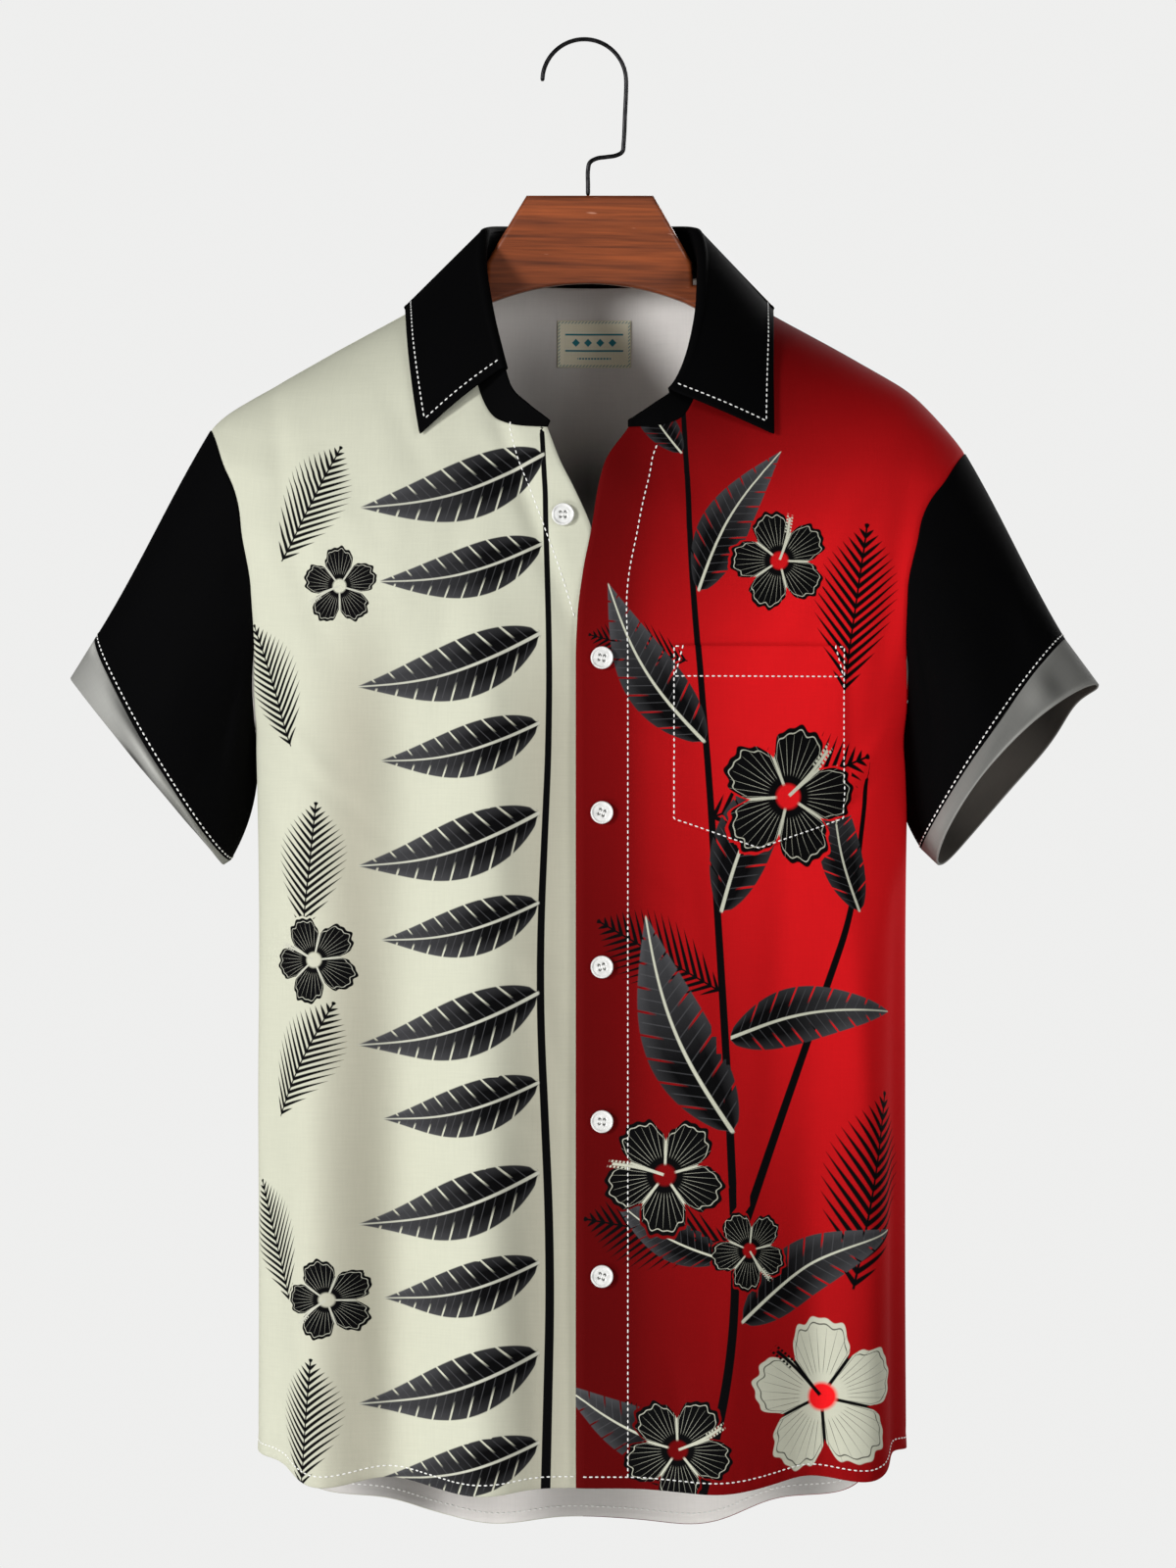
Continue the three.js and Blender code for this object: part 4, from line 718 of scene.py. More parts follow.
def drawn_in(grid, tube):
    """The grid with its outer edges pulled towards their neighbours."""
    grid = grid.copy()
    for view in (grid,) if tube else (grid, grid.swapaxes(0, 1)):
        for edge, inside in ((0, 1), (-1, -2)):
            view[edge] += unit(view[inside] - view[edge]) * SEAM_DRAW
    return grid


def corners(grid):
    """The four corners of each cell of a grid."""
    around = np.stack([grid[:-1, :-1], grid[:-1, 1:], grid[1:, 1:], grid[1:, :-1]], 2)
    return around.reshape(-1, 4, *grid.shape[2:])


def cells(ids, tube):
    return corners(np.hstack([ids, ids[:, :1]]) if tube else ids)


def bake_map(rows, columns, span):
    return np.stack(np.meshgrid(np.linspace(*BAKE[span], columns), np.linspace(*BAKE["up"], rows)), -1)


def border_loops(ids, tube):
    """Loops of (border vertex, the vertex just inside it), wound as the cells are."""
    if tube:
        return [(ids[0], ids[1]), (ids[-1][::-1], ids[-2][::-1])]
    grids = (ids, np.pad(ids[1:-1, 1:-1], 1, mode="edge"))
    return [[np.concatenate([g[0, :-1], g[:-1, -1], g[-1, :0:-1], g[:0:-1, 0]]) for g in grids]]


def placed(name, data):
    made = bpy.data.objects.new(name, data)
    bpy.context.scene.collection.objects.link(made)
    return made


def new_mesh(name, points, faces, materials, face_material=None, uvs=None, attributes=None):
    """A mesh object from points in millimetres, riding on the one body."""
    mesh = bpy.data.meshes.new(name)
    mesh.from_pydata((points * MM).tolist(), [], [list(face) for face in faces])
    for material in materials:
        mesh.materials.append(material)
    if face_material is not None:
        mesh.polygons.foreach_set("material_index", np.asarray(face_material, np.int32))
    if uvs is not None:
        layer = mesh.uv_layers.new(name="OFBake")
        layer.data.foreach_set("uv", np.asarray(uvs, np.float32).ravel())
    for label, values in (attributes or {}).items():
        kind, key = ("FLOAT_VECTOR", "vector") if values.ndim == 2 else ("FLOAT", "value")
        attribute = mesh.attributes.new(label, kind, "POINT")
        attribute.data.foreach_set(key, np.asarray(values, np.float32).ravel())
    mesh.shade_smooth()
    made = placed(name, mesh)
    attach(made, ROOT)
    return made


def finished(made, node):
    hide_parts(node)
    return made


def row_lengths(points):
    """Running length along each row of points, and along each column."""
    lengths = []
    for axis in (1, 0):
        steps = np.linalg.norm(np.diff(points, axis=axis), axis=-1)
        first = [(0, 0), (0, 0)]
        first[axis] = (1, 0)
        lengths.append(np.pad(np.cumsum(steps, axis), first))
    return lengths


def shell(name, points, normals, thick, looks, slot, coords=None, tube=False, attributes=None):
    """A cloth wall with rounded edges: the given points are its outside. coords are millimetres
    along the cloth. looks are those of the outside and the inside."""
    if coords is None:
        coords = np.stack(row_lengths(points), -1)
    rows, columns = points.shape[:2]
    count = rows * columns
    ids = np.arange(count).reshape(rows, columns)
    outer, inner = (drawn_in(wall, tube).reshape(-1, 3) for wall in (points, points - normals * thick))
    outside, inside = (corners(bake_map(rows, columns + tube, span)) for span in ("outside", "inside"))
    faces, uvs = [cells(ids, tube), cells(ids + count, tube)[:, ::-1]], [outside, inside[:, ::-1]]
    at_vertex = bake_map(rows, columns, "outside").reshape(-1, 2)
    vertices, origins = [outer, inner], [np.arange(count)] * 2
    start = 2 * count
    for edge, near in border_loops(ids, tube):
        middle = start + np.arange(len(edge))
        start += len(edge)
        reach = np.linalg.norm(outer[edge] - inner[edge], axis=-1, keepdims=True) * RIM_ROUND
        vertices.append((outer[edge] + inner[edge]) / 2 + unit(outer[edge] - outer[near]) * reach)
        origins.append(edge)
        after, after_middle = np.roll(edge, -1), np.roll(middle, -1)
        faces.append(np.stack([after, edge, middle, after_middle], -1))
        faces.append(np.stack([after_middle, middle, edge + count, after + count], -1))
        uvs += [np.stack([at_vertex[each] for each in (after, edge, edge, after)], 1)] * 2
    layer = np.concatenate([np.full(len(f), int(i == 1)) for i, f in enumerate(faces)])
    vertices, faces, uvs, origin = map(np.concatenate, (vertices, faces, uvs, origins))
    a, b, c, d = (vertices[faces[:, i]] for i in range(4))
    if (a * (np.cross(b, c) + np.cross(c, d))).sum() < 0:
        faces, uvs = faces[:, ::-1], uvs[:, ::-1]
    given = {"cloth": stacked(coords[..., 0], coords[..., 1], 0)} | (attributes or {})
    given = {label: values.reshape(count, *values.shape[2:])[origin] for label, values in given.items()}
    return finished(new_mesh(name + "_cloth", vertices, faces, looks, layer, uvs, given), name)


def mitred(normal, partner):
    """The normal leant towards that of what is sewn to it, and longer to keep the wall's thickness."""
    share = smooth(MITRE.folded, MITRE.flat, (normal * partner).sum(-1))[..., None]
    direction = unit(normal + partner * share)
    return direction / np.maximum((direction * normal).sum(-1, keepdims=True), MITRE.least)


# ---------------------------------------------------------------- shader arithmetic
def feed(slot, value):
    """Links a number or a node's output to a socket, or gives the socket a plain value."""
    source = value.socket if isinstance(value, Number) else value
    if isinstance(source, bpy.types.NodeSocket):
        slot.id_data.links.new(source, slot)
    elif isinstance(source, tuple):
        slot.default_value = (*source, 1.0)[: len(slot.default_value)]
    else:
        slot.default_value = source


class Number:
    """A number in a node tree: arithmetic on it adds Math nodes."""

    def __init__(self, socket):
        self.socket = socket

    def run(self, operation, *others):
        node = self.socket.id_data.nodes.new("ShaderNodeMath")
        node.operation = operation
        for slot, value in zip(node.inputs, (self, *others), strict=False):
            feed(slot, value)
        return Number(node.outputs[0])

    __add__ = __radd__ = partialmethod(run, "ADD")
    __sub__ = partialmethod(run, "SUBTRACT")
    __mul__ = __rmul__ = partialmethod(run, "MULTIPLY")
    __truediv__ = partialmethod(run, "DIVIDE")
    __abs__ = partialmethod(run, "ABSOLUTE")
    sin = partialmethod(run, "SINE")
    power = partialmethod(run, "POWER")
    part = partialmethod(run, "FRACT")
    least = partialmethod(run, "MINIMUM")
    most = partialmethod(run, "MAXIMUM")

    def __rsub__(self, other):
        return (self * -1) + other

    def clamped(self):
        return self.most(0.0).least(1.0)

    def below(self, limit, soft):
        """1 well below limit, 0 above it, softened over soft."""
        return ((limit - self) * (1 / soft) + 0.5).clamped()

    def above(self, limit, soft):
        return ((self - limit) * (1 / soft) + 0.5).clamped()

    def from_to(self, low, high):
        return ((self - low) * (1 / (high - low))).clamped()


def from_middle(number):
    """How far a repeating number is from the middle of its step."""
    return abs(number.part() - 0.5)


class Look:
    """A material with one Principled shader, and helpers to build its colour and bump."""

    def __init__(self, name, roughness, **sockets):
        self.material = bpy.data.materials.new(name)
        self.material.use_nodes = True
        self.tree = self.material.node_tree
        self.shader = self.tree.nodes["Principled BSDF"]
        self.given(self.shader, roughness=roughness, **sockets)

    def given(self, node, **inputs):
        for name, value in inputs.items():
            feed(node.inputs[name.replace("_", " ").title().replace("Ior", "IOR")], value)
        return node

    def node(self, kind, **inputs):
        return self.given(self.tree.nodes.new(kind), **inputs)

    def attribute(self, name, output):
        node = self.node("ShaderNodeAttribute")
        node.attribute_name = name
        return node.outputs[output]

    def scalar(self, name):
        return Number(self.attribute(name, "Fac"))

    def split(self, vector):
        return [Number(output) for output in self.node("ShaderNodeSeparateXYZ", vector=vector).outputs]

    def triple(self, name):
        """The three numbers of an attribute of the mesh."""
        return self.split(self.attribute(name, "Vector"))

    def place(self):
        return self.node("ShaderNodeTexCoord").outputs["Object"]

    def noise(self, vector, scale, detail=2.0, roughness=0.5):
        node = self.node("ShaderNodeTexNoise", vector=vector, scale=scale, detail=detail, roughness=roughness)
        return Number(node.outputs["Fac"])

    def grain(self, x, y, z=0.0, detail=2.0, roughness=0.5):
        """Noise at a place given as three numbers."""
        vector = self.node("ShaderNodeCombineXYZ", x=x, y=y, z=z).outputs[0]
        return self.noise(vector, 1.0, detail, roughness)

    def mixed(self, share, low, high):
        """A colour between two others."""
        node = self.tree.nodes.new("ShaderNodeMix")
        node.data_type = "RGBA"
        for slot, value in ((0, share), (6, low), (7, high)):
            feed(node.inputs[slot], value)
        return node.outputs[2]

    def dimmed(self, colour, amount):
        """A colour times a number."""
        node = self.tree.nodes.new("ShaderNodeVectorMath")
        node.operation = "SCALE"
        feed(node.inputs[0], colour)
        feed(node.inputs["Scale"], amount)
        return node.outputs[0]

    def done(self, colour, height=None, metres=0.0, **sockets):
        """The material, with its colour and perhaps a bump and other sockets."""
        if height is not None:
            sockets["normal"] = self.node("ShaderNodeBump", height=height, distance=metres).outputs[0]
        self.given(self.shader, base_color=colour, **sockets)
        return self.material


THREAD = 0.55  # millimetres from one yarn to the next
WEAVE_BUMP = 0.00004  # metres


def woven(look, colour_of, metres=WEAVE_BUMP, tone=None):
    """A plain weave over colour_of(look), each yarn a little lighter or darker, from the cloth's
    own millimetres; tone names an attribute of the mesh that lightens or darkens it with painted light and
    shade."""
    x, y, _ = look.triple("cloth")
    turn = ROUND / THREAD
    height = (x * turn).sin() * (y * turn).sin()
    slubs = look.grain(x * 0.9, y * 0.05, detail=3.0)
    crossing = look.grain(x * 0.05, y * 0.9, detail=3.0)
    light = (slubs + crossing) * 0.09 + look.grain(x * 0.02, y * 0.02) * 0.05 + 0.885
    if tone:
        light = light * look.scalar(tone)
    return look.done(look.dimmed(colour_of(look), light), height * 0.5 + slubs + crossing, metres)


def cloth_look(name, colour, roughness=0.8, specular=0.08, tone=None):
    return woven(Look(name, roughness, specular_ior_level=specular), lambda look: colour, tone=tone)


def leaf_ink(u, v, notches=9.0):
    """A broad leaf from (0, 0) to (1, 0): its ink, its light lines and how grey it is."""
    bent = v - (u * math.pi).sin() * 0.07
    half = (u.clamped().power(0.72) * math.pi).sin().most(0.0) * 0.155
    side = abs(bent)
    out = side / (half + 0.001)
    phase = (u - side * 0.62) * notches
    split = phase.part().below(0.1, 0.05) * out.above(0.5, 0.3)
    inside = (side - half).below(0.0, 0.006) * u.above(0.005, 0.01) * u.below(0.995, 0.01)
    rib = (side + u * 0.006).below(0.0095, 0.004)
    veins = from_middle(phase * 2 + 0.3).below(0.05, 0.04) * out.below(0.88, 0.1)
    grey = u.from_to(0.35, 1.0) * 0.7 + out.from_to(0.5, 1.0) * 0.3
    return inside * (1 - split), rib, veins, grey


def bloom_ink(u, v):
    """A five-petalled bloom of radius 1: ink, the rim round it, light lines, eye and stamen."""
    r = (u * u + v * v).run("SQRT")
    theta = v.run("ARCTAN2", u)
    phi = (theta * (5 / ROUND) + 10.0).part() - 0.5
    wide = abs(phi)
    ruffle = (theta * 31).sin() * 0.018 + (theta * 19 + 1.0).sin() * 0.022
    past = r - ((wide * 2.0).power(2.6) * -0.42 + ruffle + 0.96)
    gap = ((0.5 - wide) * r).below(0.016, 0.008) * r.above(0.16, 0.05)
    edge = abs(past + 0.075).below(0.009, 0.006) * wide.below(0.44, 0.05)
    fan = from_middle(phi * 9.0 + 0.5).below((0.86 - r) * 0.1, 0.05)
    fan = fan * r.above(0.3, 0.05) * r.below(0.84, 0.04)
    curve = abs(v - u * u * 0.16)
    tube = (curve - 0.006).below(0.017, 0.01) * u.above(0.02, 0.02) * u.below(0.84, 0.02)
    dots = from_middle(u * 17.0).below(0.28, 0.1) * abs(curve - 0.045).below(0.017, 0.01)
    stamen = tube.most(dots * u.above(0.55, 0.02) * u.below(0.9, 0.02))
    lines = gap.most(edge * 0.8).most(fan * 0.85)
    return past.below(0.0, 0.015), past.below(0.05, 0.015), lines, r.below(0.17, 0.05), stamen


def frond_ink(u, v):
    """A palm frond from (0, 0) to (1, 0), all thin leaflets."""
    side = abs(v)
    along = u - side * 0.95
    envelope = (along.clamped().power(0.62) * math.pi).sin().most(0.0) * 0.27
    width = (1 - (side / (envelope + 0.001)).power(2.0)) * 0.3
    leaflet = from_middle(along * 17.0).below(width, 0.12)
    inside = (side - envelope).below(0.0, 0.01) * along.above(0.0, 0.01) * along.below(1.0, 0.01)
    rib = side.below(0.006, 0.004) * u.above(0.0, 0.01) * u.below(0.97, 0.01)
    return (leaflet * inside).most(rib)


INK, INK_GREY, VEIN_GREY = (0.002, 0.002, 0.0023), (0.14, 0.14, 0.15), (0.08, 0.08, 0.085)
IVORY, IVORY_SHADE, IVORY_LINE = (0.56, 0.565, 0.455), (0.45, 0.435, 0.345), (0.5, 0.5, 0.42)
BRIGHT_RED, DARK_RED = (0.84, 0.01, 0.014), (0.06, 0.0006, 0.0008)
CREAM = (0.82, 0.79, 0.76)


def red_ground(look):
    return look.mixed(look.scalar("red_tone").clamped(), DARK_RED, BRIGHT_RED)


def ivory_ground(look):
    # IVORY_SHADE is the painted shade of the bands.
    return look.mixed(look.scalar("ivory_tone").clamped(), IVORY_SHADE, IVORY)


def back_ground(look):
    """Ivory on the wearer's right half and red on the left."""
    return look.mixed(look.triple("cloth")[0].above(0.0, 0.4), ivory_ground(look), red_ground(look))


def print_look(name, ground, line, pale=True):
    """A printed cloth: ground is a function of the look that gives its colour; line is the colour
    of the light lines on the ink; pale says whether it also has pale blooms."""

    def colour_of(look):
        def layered(layer):
            """The local place of the nearest motif of one layer, and 1 where it is near."""
            u, v, near = look.triple(layer)
            return u, v, near.above(0.98, 0.02)

        colour = ground_colour = ground(look)
        u, v, near = layered("frond")
        colour = look.mixed(frond_ink(u, v) * near, colour, INK)
        apart, half, near = layered("stem")
        colour = look.mixed((abs(apart) - half).below(0.0, 0.4) * near, colour, INK)
        for layer in ("leaf", "leaf_over"):
            u, v, near = layered(layer)
            ink, rib, veins, grey = leaf_ink(u, v)
            body = look.mixed(veins * 0.5, look.mixed(grey * 0.6, INK, INK_GREY), VEIN_GREY)
            colour = look.mixed(ink * near, colour, look.mixed(rib, body, line))
        kinds = (("bloom", INK, line, ground_colour), ("pale", IVORY, INK, BRIGHT_RED))
        for layer, petals, lines, heart in kinds if pale else kinds[:1]:
            u, v, near = layered(layer)
            ink, halo, marks, eye, stamen = bloom_ink(u, v)
            colour = look.mixed(halo * near, colour, ground_colour)
            colour = look.mixed(ink * near, colour, look.mixed(eye, look.mixed(marks, petals, lines), heart))
            colour = look.mixed(stamen * near, colour, lines)
        return colour

    return woven(Look(name, 0.7, specular_ior_level=0.04), colour_of)


def speckled(name, roughness, scale, low, high, **sockets):
    """A look between two colours by a fine noise."""
    look = Look(name, roughness, **sockets)
    return look.done(look.mixed(look.noise(look.place(), scale), low, high))


def pearl_look():
    look = Look("pearl_button", 0.22, coat_weight=0.5, coat_roughness=0.15, specular_ior_level=0.5)
    cloud = look.noise(look.place(), 260.0, 3.0)
    body = look.mixed(cloud.from_to(0.35, 0.7), (0.68, 0.68, 0.66), (0.86, 0.86, 0.84))
    # The sunk holes are painted dark grey: painted shade in the holes.
    colour = look.mixed(look.scalar("pit").from_to(0.1, 0.8), body, (0.16, 0.16, 0.15))
    return look.done(colour, cloud, 0.00002)


def wood_look():
    look = Look("stained_wood", 0.42, coat_weight=0.25, coat_roughness=0.3, specular_ior_level=0.4)
    x, y, z = look.split(look.place())
    bend = z + (x * 9.0).sin() * 0.002
    grain = look.grain(x * 5.0, y * 60.0, bend * 130.0, 5.0, 0.62)
    broad = look.grain(x * 2.5, y * 20.0, bend * 38.0, 3.0)
    fine = look.grain(x * 22.0, y * 300.0, bend * 620.0)
    tone = (grain * 0.7 + broad * 0.4 + fine * 0.5).from_to(0.58, 1.04)
    body = look.mixed(tone, (0.06, 0.012, 0.003), (0.34, 0.078, 0.02))
    scratch = look.grain(x * 60.0, y * 50.0, z * 520.0 + x * 60.0, 1.0)
    body = look.mixed(scratch.from_to(0.76, 0.82) * 0.6, body, (0.62, 0.3, 0.2))
    return look.done(body, grain * 0.6 + fine * 0.4, 0.0002, roughness=grain * -0.2 + 0.52)


def wire_look():
    look = Look("dark_wire", 0.34, metallic=0.85, specular_ior_level=0.5)
    worn = look.noise(look.place(), 320.0, 3.0)
    colour = look.mixed(worn.from_to(0.35, 0.75), (0.008, 0.008, 0.009), (0.035, 0.034, 0.036))
    return look.done(colour, worn, 0.00003, roughness=worn * 0.25 + 0.22)


def label_colour(look):
    """Cream, with a dotted border, two teal stripes and a few teal lozenges."""
    x, y, _ = look.triple("cloth")
    half_x, half_y = (LABEL.x1 - LABEL.x0) / 2, LABEL.height / 2
    y = y - half_y
    far, low = abs(x), abs(y + 1.0)
    edge = (far - (half_x - 1.6)).most(abs(y) - (half_y - 1.6))
    border = abs(edge - 0.6).below(0.7, 0.15) * ((x + y) * (1 / 2.2)).part().below(0.45, 0.1) * 0.7
    stripe = abs(low - 5.2).below(0.55, 0.2) * far.below(half_x - 5, 0.3)
    lozenge = (from_middle(x * 0.125) * 8.0 + low).below(2.6, 0.3) * far.below(16.0, 0.3)
    foot = abs(y - 9.2).below(0.5, 0.2) * far.below(11.0, 0.3) * (x * 0.5).part().below(0.7, 0.1)
    ink = border.most(stripe).most(lozenge).most(foot)
    return look.mixed(ink, (0.93, 0.88, 0.68), (0.02, 0.22, 0.27))


RED_PRINT = print_look("print_red", red_ground, IVORY)
IVORY_PRINT = print_look("print_ivory", ivory_ground, IVORY_LINE, pale=False)
BACK_PRINT = print_look("print_back", back_ground, IVORY)
BLACK = cloth_look("black_cloth", (0.0013, 0.0013, 0.0015), 0.8, 0.03)
REVERSE = cloth_look("reverse_cloth", CREAM, 0.85)
# The back's inside is the cream reverse cloth with painted light and shade.
BACK_REVERSE = cloth_look("back_reverse", CREAM, 0.85, tone="fold")
# The cuffs are the cream reverse cloth, painted grey outside and near black inside: painted shade.
CUFF_OUT = cloth_look("cuff_cloth", (0.26, 0.26, 0.245), tone="tone")
CUFF_IN = cloth_look("cuff_reverse", (0.075, 0.068, 0.06), tone="tone")
LABEL_BLANK = cloth_look("label_reverse", (0.72, 0.69, 0.52))
LABEL_SHEEN = {"sheen_weight": 0.1, "sheen_roughness": 0.5, "specular_ior_level": 0.25}
LABEL_LOOK = woven(Look("label_cloth", 0.75, **LABEL_SHEEN), label_colour, 0.00003)
THREAD_TONES = (0.8, 0.8, 0.77), (0.95, 0.95, 0.93)
THREAD_WHITE = speckled("white_thread", 0.6, 900.0, *THREAD_TONES, specular_ior_level=0.2)
PEARL, STAINED_WOOD, DARK_WIRE = pearl_look(), wood_look(), wire_look()

# ---------------------------------------------------------------- the print
# Places are millimetres across the cloth from the middle of the front, or of the back, and
# millimetres down. A motif is across, down, turn in degrees from pointing to +X and size; the
# blooms' size is their radius. A stem is the places that it runs through.
PRINTS = {
    "front_right": {
        "leaf": [(-27, 268 + 114 * i, 196, 124) for i in range(6)],
        "leaf_over": [(-27, 325 + 114 * i, 193, 108) for i in range(6)],
        "frond": [(-198 + 9 * (i % 3), 336 + 118 * i, (62, 112, 84)[i % 3], 84) for i in range(6)],
        "bloom": [(-158, 352, 200, 26), (-172, 590, 150, 29), (-162, 806, 215, 27)],
        "stem": [[(-24, 950), (-20, 780), (-28, 600), (-20, 420), (-30, 240)]],
    },
    "front_left": {
        "leaf": [
            (96, 700, 112, 150), (78, 452, 122, 120), (84, 905, 154, 110), (92, 640, 8, 118),
            (72, 356, 60, 104), (182, 560, 100, 96),
        ],
        "leaf_over": [(88, 560, 62, 128), (100, 820, 28, 122), (60, 268, 118, 70), (90, 780, 150, 84)],
        "frond": [
            (94, 770, 170, 96), (88, 610, 150, 92), (176, 800, 78, 130), (80, 500, 20, 118),
            (66, 400, 165, 66), (170, 420, 84, 110), (60, 930, 118, 70),
        ],
        "bloom": [
            (132, 486, 40, 47), (52, 726, 160, 40), (124, 336, 70, 33), (60, 900, 20, 36),
            (106, 774, 300, 27),
        ],
        "pale": [(158, 868, 130, 52)],
        "stem": [
            [(70, 950), (98, 830), (94, 700), (86, 560), (78, 440), (66, 330), (60, 230)],
            [(98, 770), (140, 660), (176, 560), (190, 470)],
        ],
    },
    "back": {
        "leaf": [(-40, 312 + 124 * i, 196, 122) for i in range(5)]
        + [(70, 330, 58, 118), (78, 610, 62, 128), (76, 880, 40, 116), (-196, 520, 96, 90)],
        "leaf_over": [(-40, 374 + 124 * i, 193, 108) for i in range(5)]
        + [(86, 470, 118, 124), (96, 740, 110, 140), (-210, 720, 84, 90), (80, 420, 8, 104)],
        "frond": [
            (-178, 330, 96, 92), (-192, 640, 84, 96), (-184, 860, 100, 92), (150, 420, 84, 120),
            (168, 640, 96, 128), (150, 860, 70, 110), (70, 690, 156, 60),
        ],
        "bloom": [
            (-176, 430, 160, 28), (-180, 750, 200, 28), (130, 540, 30, 46), (52, 800, 150, 38),
            (128, 370, 80, 34),
        ],
        "pale": [(150, 740, 60, 50)],
        "stem": [
            [(-36, 950), (-44, 640), (-36, 420), (-44, 215)],
            [(80, 940), (92, 800), (84, 620), (76, 440), (70, 260)],
        ],
    },
}
# The box of each kind in its own units: middle and half-length along it, middle and half-width.
REACH = {"leaf": (0.5, 0.54, 0.07, 0.185), "frond": (0.5, 0.55, 0, 0.295), "bloom": (0, 1.06, 0, 1.06)}
REACH |= {"leaf_over": REACH["leaf"], "pale": REACH["bloom"]}
STEM = Sizes(half=3.1, taper=0.5, near=14, steps=80, blur=6)
SECTION_ANGLES = np.radians(np.linspace(0, 180, 181))
SECTION_DOWNS = np.linspace(NECK_DOWN, 965, 90)


def section_length(down):
    """Length of cloth from the middle of the front to each of the section angles."""
    s, c = np.sin(SECTION_ANGLES), np.cos(SECTION_ANGLES)
    x = power(s, TRUNK("flank", down)) * TRUNK("half", down)
    y = -power(c, TRUNK("round", down)) * trunk_depth(c >= 0, down)
    return np.pad(np.cumsum(np.hypot(np.diff(x), np.diff(y))), (1, 0))


SECTION = np.array([section_length(down) for down in SECTION_DOWNS])


def across_cloth(angle, down, from_back):
    """Millimetres along the cloth from the middle of the front, or of the back."""
    at_down = (down - SECTION_DOWNS[0]) / (SECTION_DOWNS[1] - SECTION_DOWNS[0])
    d = np.clip(at_down.astype(int), 0, len(SECTION_DOWNS) - 2)

    def length_to(degrees):
        a = np.clip(degrees.astype(int), 0, len(SECTION_ANGLES) - 2)
        low, high = (mix(SECTION[row, a], SECTION[row, a + 1], degrees - a) for row in (d, d + 1))
        return mix(low, high, at_down - d)

    length = length_to(np.degrees(np.abs(angle)))
    if from_back:
        length = length_to(np.full(angle.shape, 180.0)) - length
    return np.sign(angle) * length


def clear_of_others(owner, near):
    """Near its own motif, and not beside a place that belongs to another one."""
    clash = np.zeros_like(near)
    for own, close, bad in ((owner, near, clash), (owner.T, near.T, clash.T)):
        differ = (own[1:] != own[:-1]) & close[1:] & close[:-1]
        bad[1:] |= differ
        bad[:-1] |= differ
    return near & ~clash


class Layer:
    """The local place of the nearest motif of one kind, and 1 where it is near."""

    def __init__(self, shape):
        self.best, self.owner = np.full(shape, np.inf), np.full(shape, -1)
        self.local = np.zeros((*shape, 3))

    def offer(self, owner, distance, a, b):
        closer = distance < self.best
        self.best[closer], self.owner[closer] = distance[closer], owner
        self.local[closer] = stacked(a, b, 0)[closer]

    def within(self, limit):
        self.local[..., 2] = clear_of_others(self.owner, self.best < limit)
        return self.local


def motif_layer(kind, motifs, across, down):
    u_middle, u_half, v_middle, v_half = REACH[kind]
    layer = Layer(across.shape)
    for i, (x, y, turn, size) in enumerate(motifs):
        c, s = math.cos(math.radians(turn)), math.sin(math.radians(turn))
        dx, dy = across - x, y - down
        u, v = (dx * c + dy * s) / size, (dy * c - dx * s) / size
        layer.offer(i, np.maximum(np.abs(u - u_middle) / u_half, np.abs(v - v_middle) / v_half), u, v)
    return layer.within(1)


def stem_layer(stems, across, down):
    """Here the local place is the distance to one side of the stem, and the stem's half-width."""
    layer = Layer(across.shape)
    kernel = np.ones(2 * STEM.blur + 1) / (2 * STEM.blur + 1)
    for number, stem in enumerate(stems):
        line = np.pad(along_points(stem, STEM.steps), ((STEM.blur, STEM.blur), (0, 0)), mode="edge")
        line = np.stack([np.convolve(axis, kernel, "valid") for axis in line.T], -1)
        for i, (a, step) in enumerate(zip(line[:-1], np.diff(line, axis=0), strict=True)):
            dx, dy = across - a[0], down - a[1]
            along = np.clip((dx * step[0] + dy * step[1]) / (step**2).sum(), 0, 1)
            dx, dy = dx - step[0] * along, dy - step[1] * along
            apart, half = np.hypot(dx, dy), STEM.half * (1 - STEM.taper * i / len(line))
            layer.offer(number, apart, apart * np.sign(step[0] * dy - step[1] * dx), half)
    return layer.within(STEM.near)


# The printed red is bright round a place on the side of the chest, and dark by the front's edge.
RED = Sizes(
    down=400, across=172, lean=0.35, above=160, below=430, inside=(132, 105), outside=260,
    narrows=(400, 700), least=0.03, more=0.95, edge=(20, 48), at_edge=0.5,
)
# The ivory is painted darker in soft upright bands, faint and uneven, as painted shade of its folds: across
# and half-width, and where they start.
IVORY_SHADE_BANDS, IVORY_SHADE_BANDS_GROW = ((146, 24), (24, 26)), (330, 460)


def red_tone(across, down):
    tall = np.where(down < RED.down, RED.above, RED.below)
    centre = RED.across + RED.lean * np.maximum(0, RED.down - down)
    wide = np.where(across < centre, mix(*RED.inside, smooth(*RED.narrows, down)), RED.outside)
    chest = bell((across - centre) / wide, (down - RED.down) / tall)
    return RED.least + RED.more * chest * mix(RED.at_edge, 1, smooth(*RED.edge, np.abs(across)))


def ivory_tone(across, down):
    # Painted shade: 1 away from the bands, less in them.
    bands = sum(bell((np.abs(across) - at) / wide) for at, wide in IVORY_SHADE_BANDS)
    return 1 - bands * smooth(*IVORY_SHADE_BANDS_GROW, down)


def printed(name, angle, down):
    """Where a panel's points lie on the cloth, and the print's attributes there."""
    across = across_cloth(angle, down, name == "back")
    layout = PRINTS[name]
    given = {kind: motif_layer(kind, layout[kind], across, down) for kind in REACH if kind in layout}
    given["stem"] = stem_layer(layout["stem"], across, down)
    given |= {"red_tone": red_tone(across, down), "ivory_tone": ivory_tone(across, down)}
    return stacked(across, down), given


# ---------------------------------------------------------------- the cloth pieces
def counted(rows, columns):
    return np.meshgrid(np.arange(rows + 1), np.arange(columns + 1), indexing="ij")


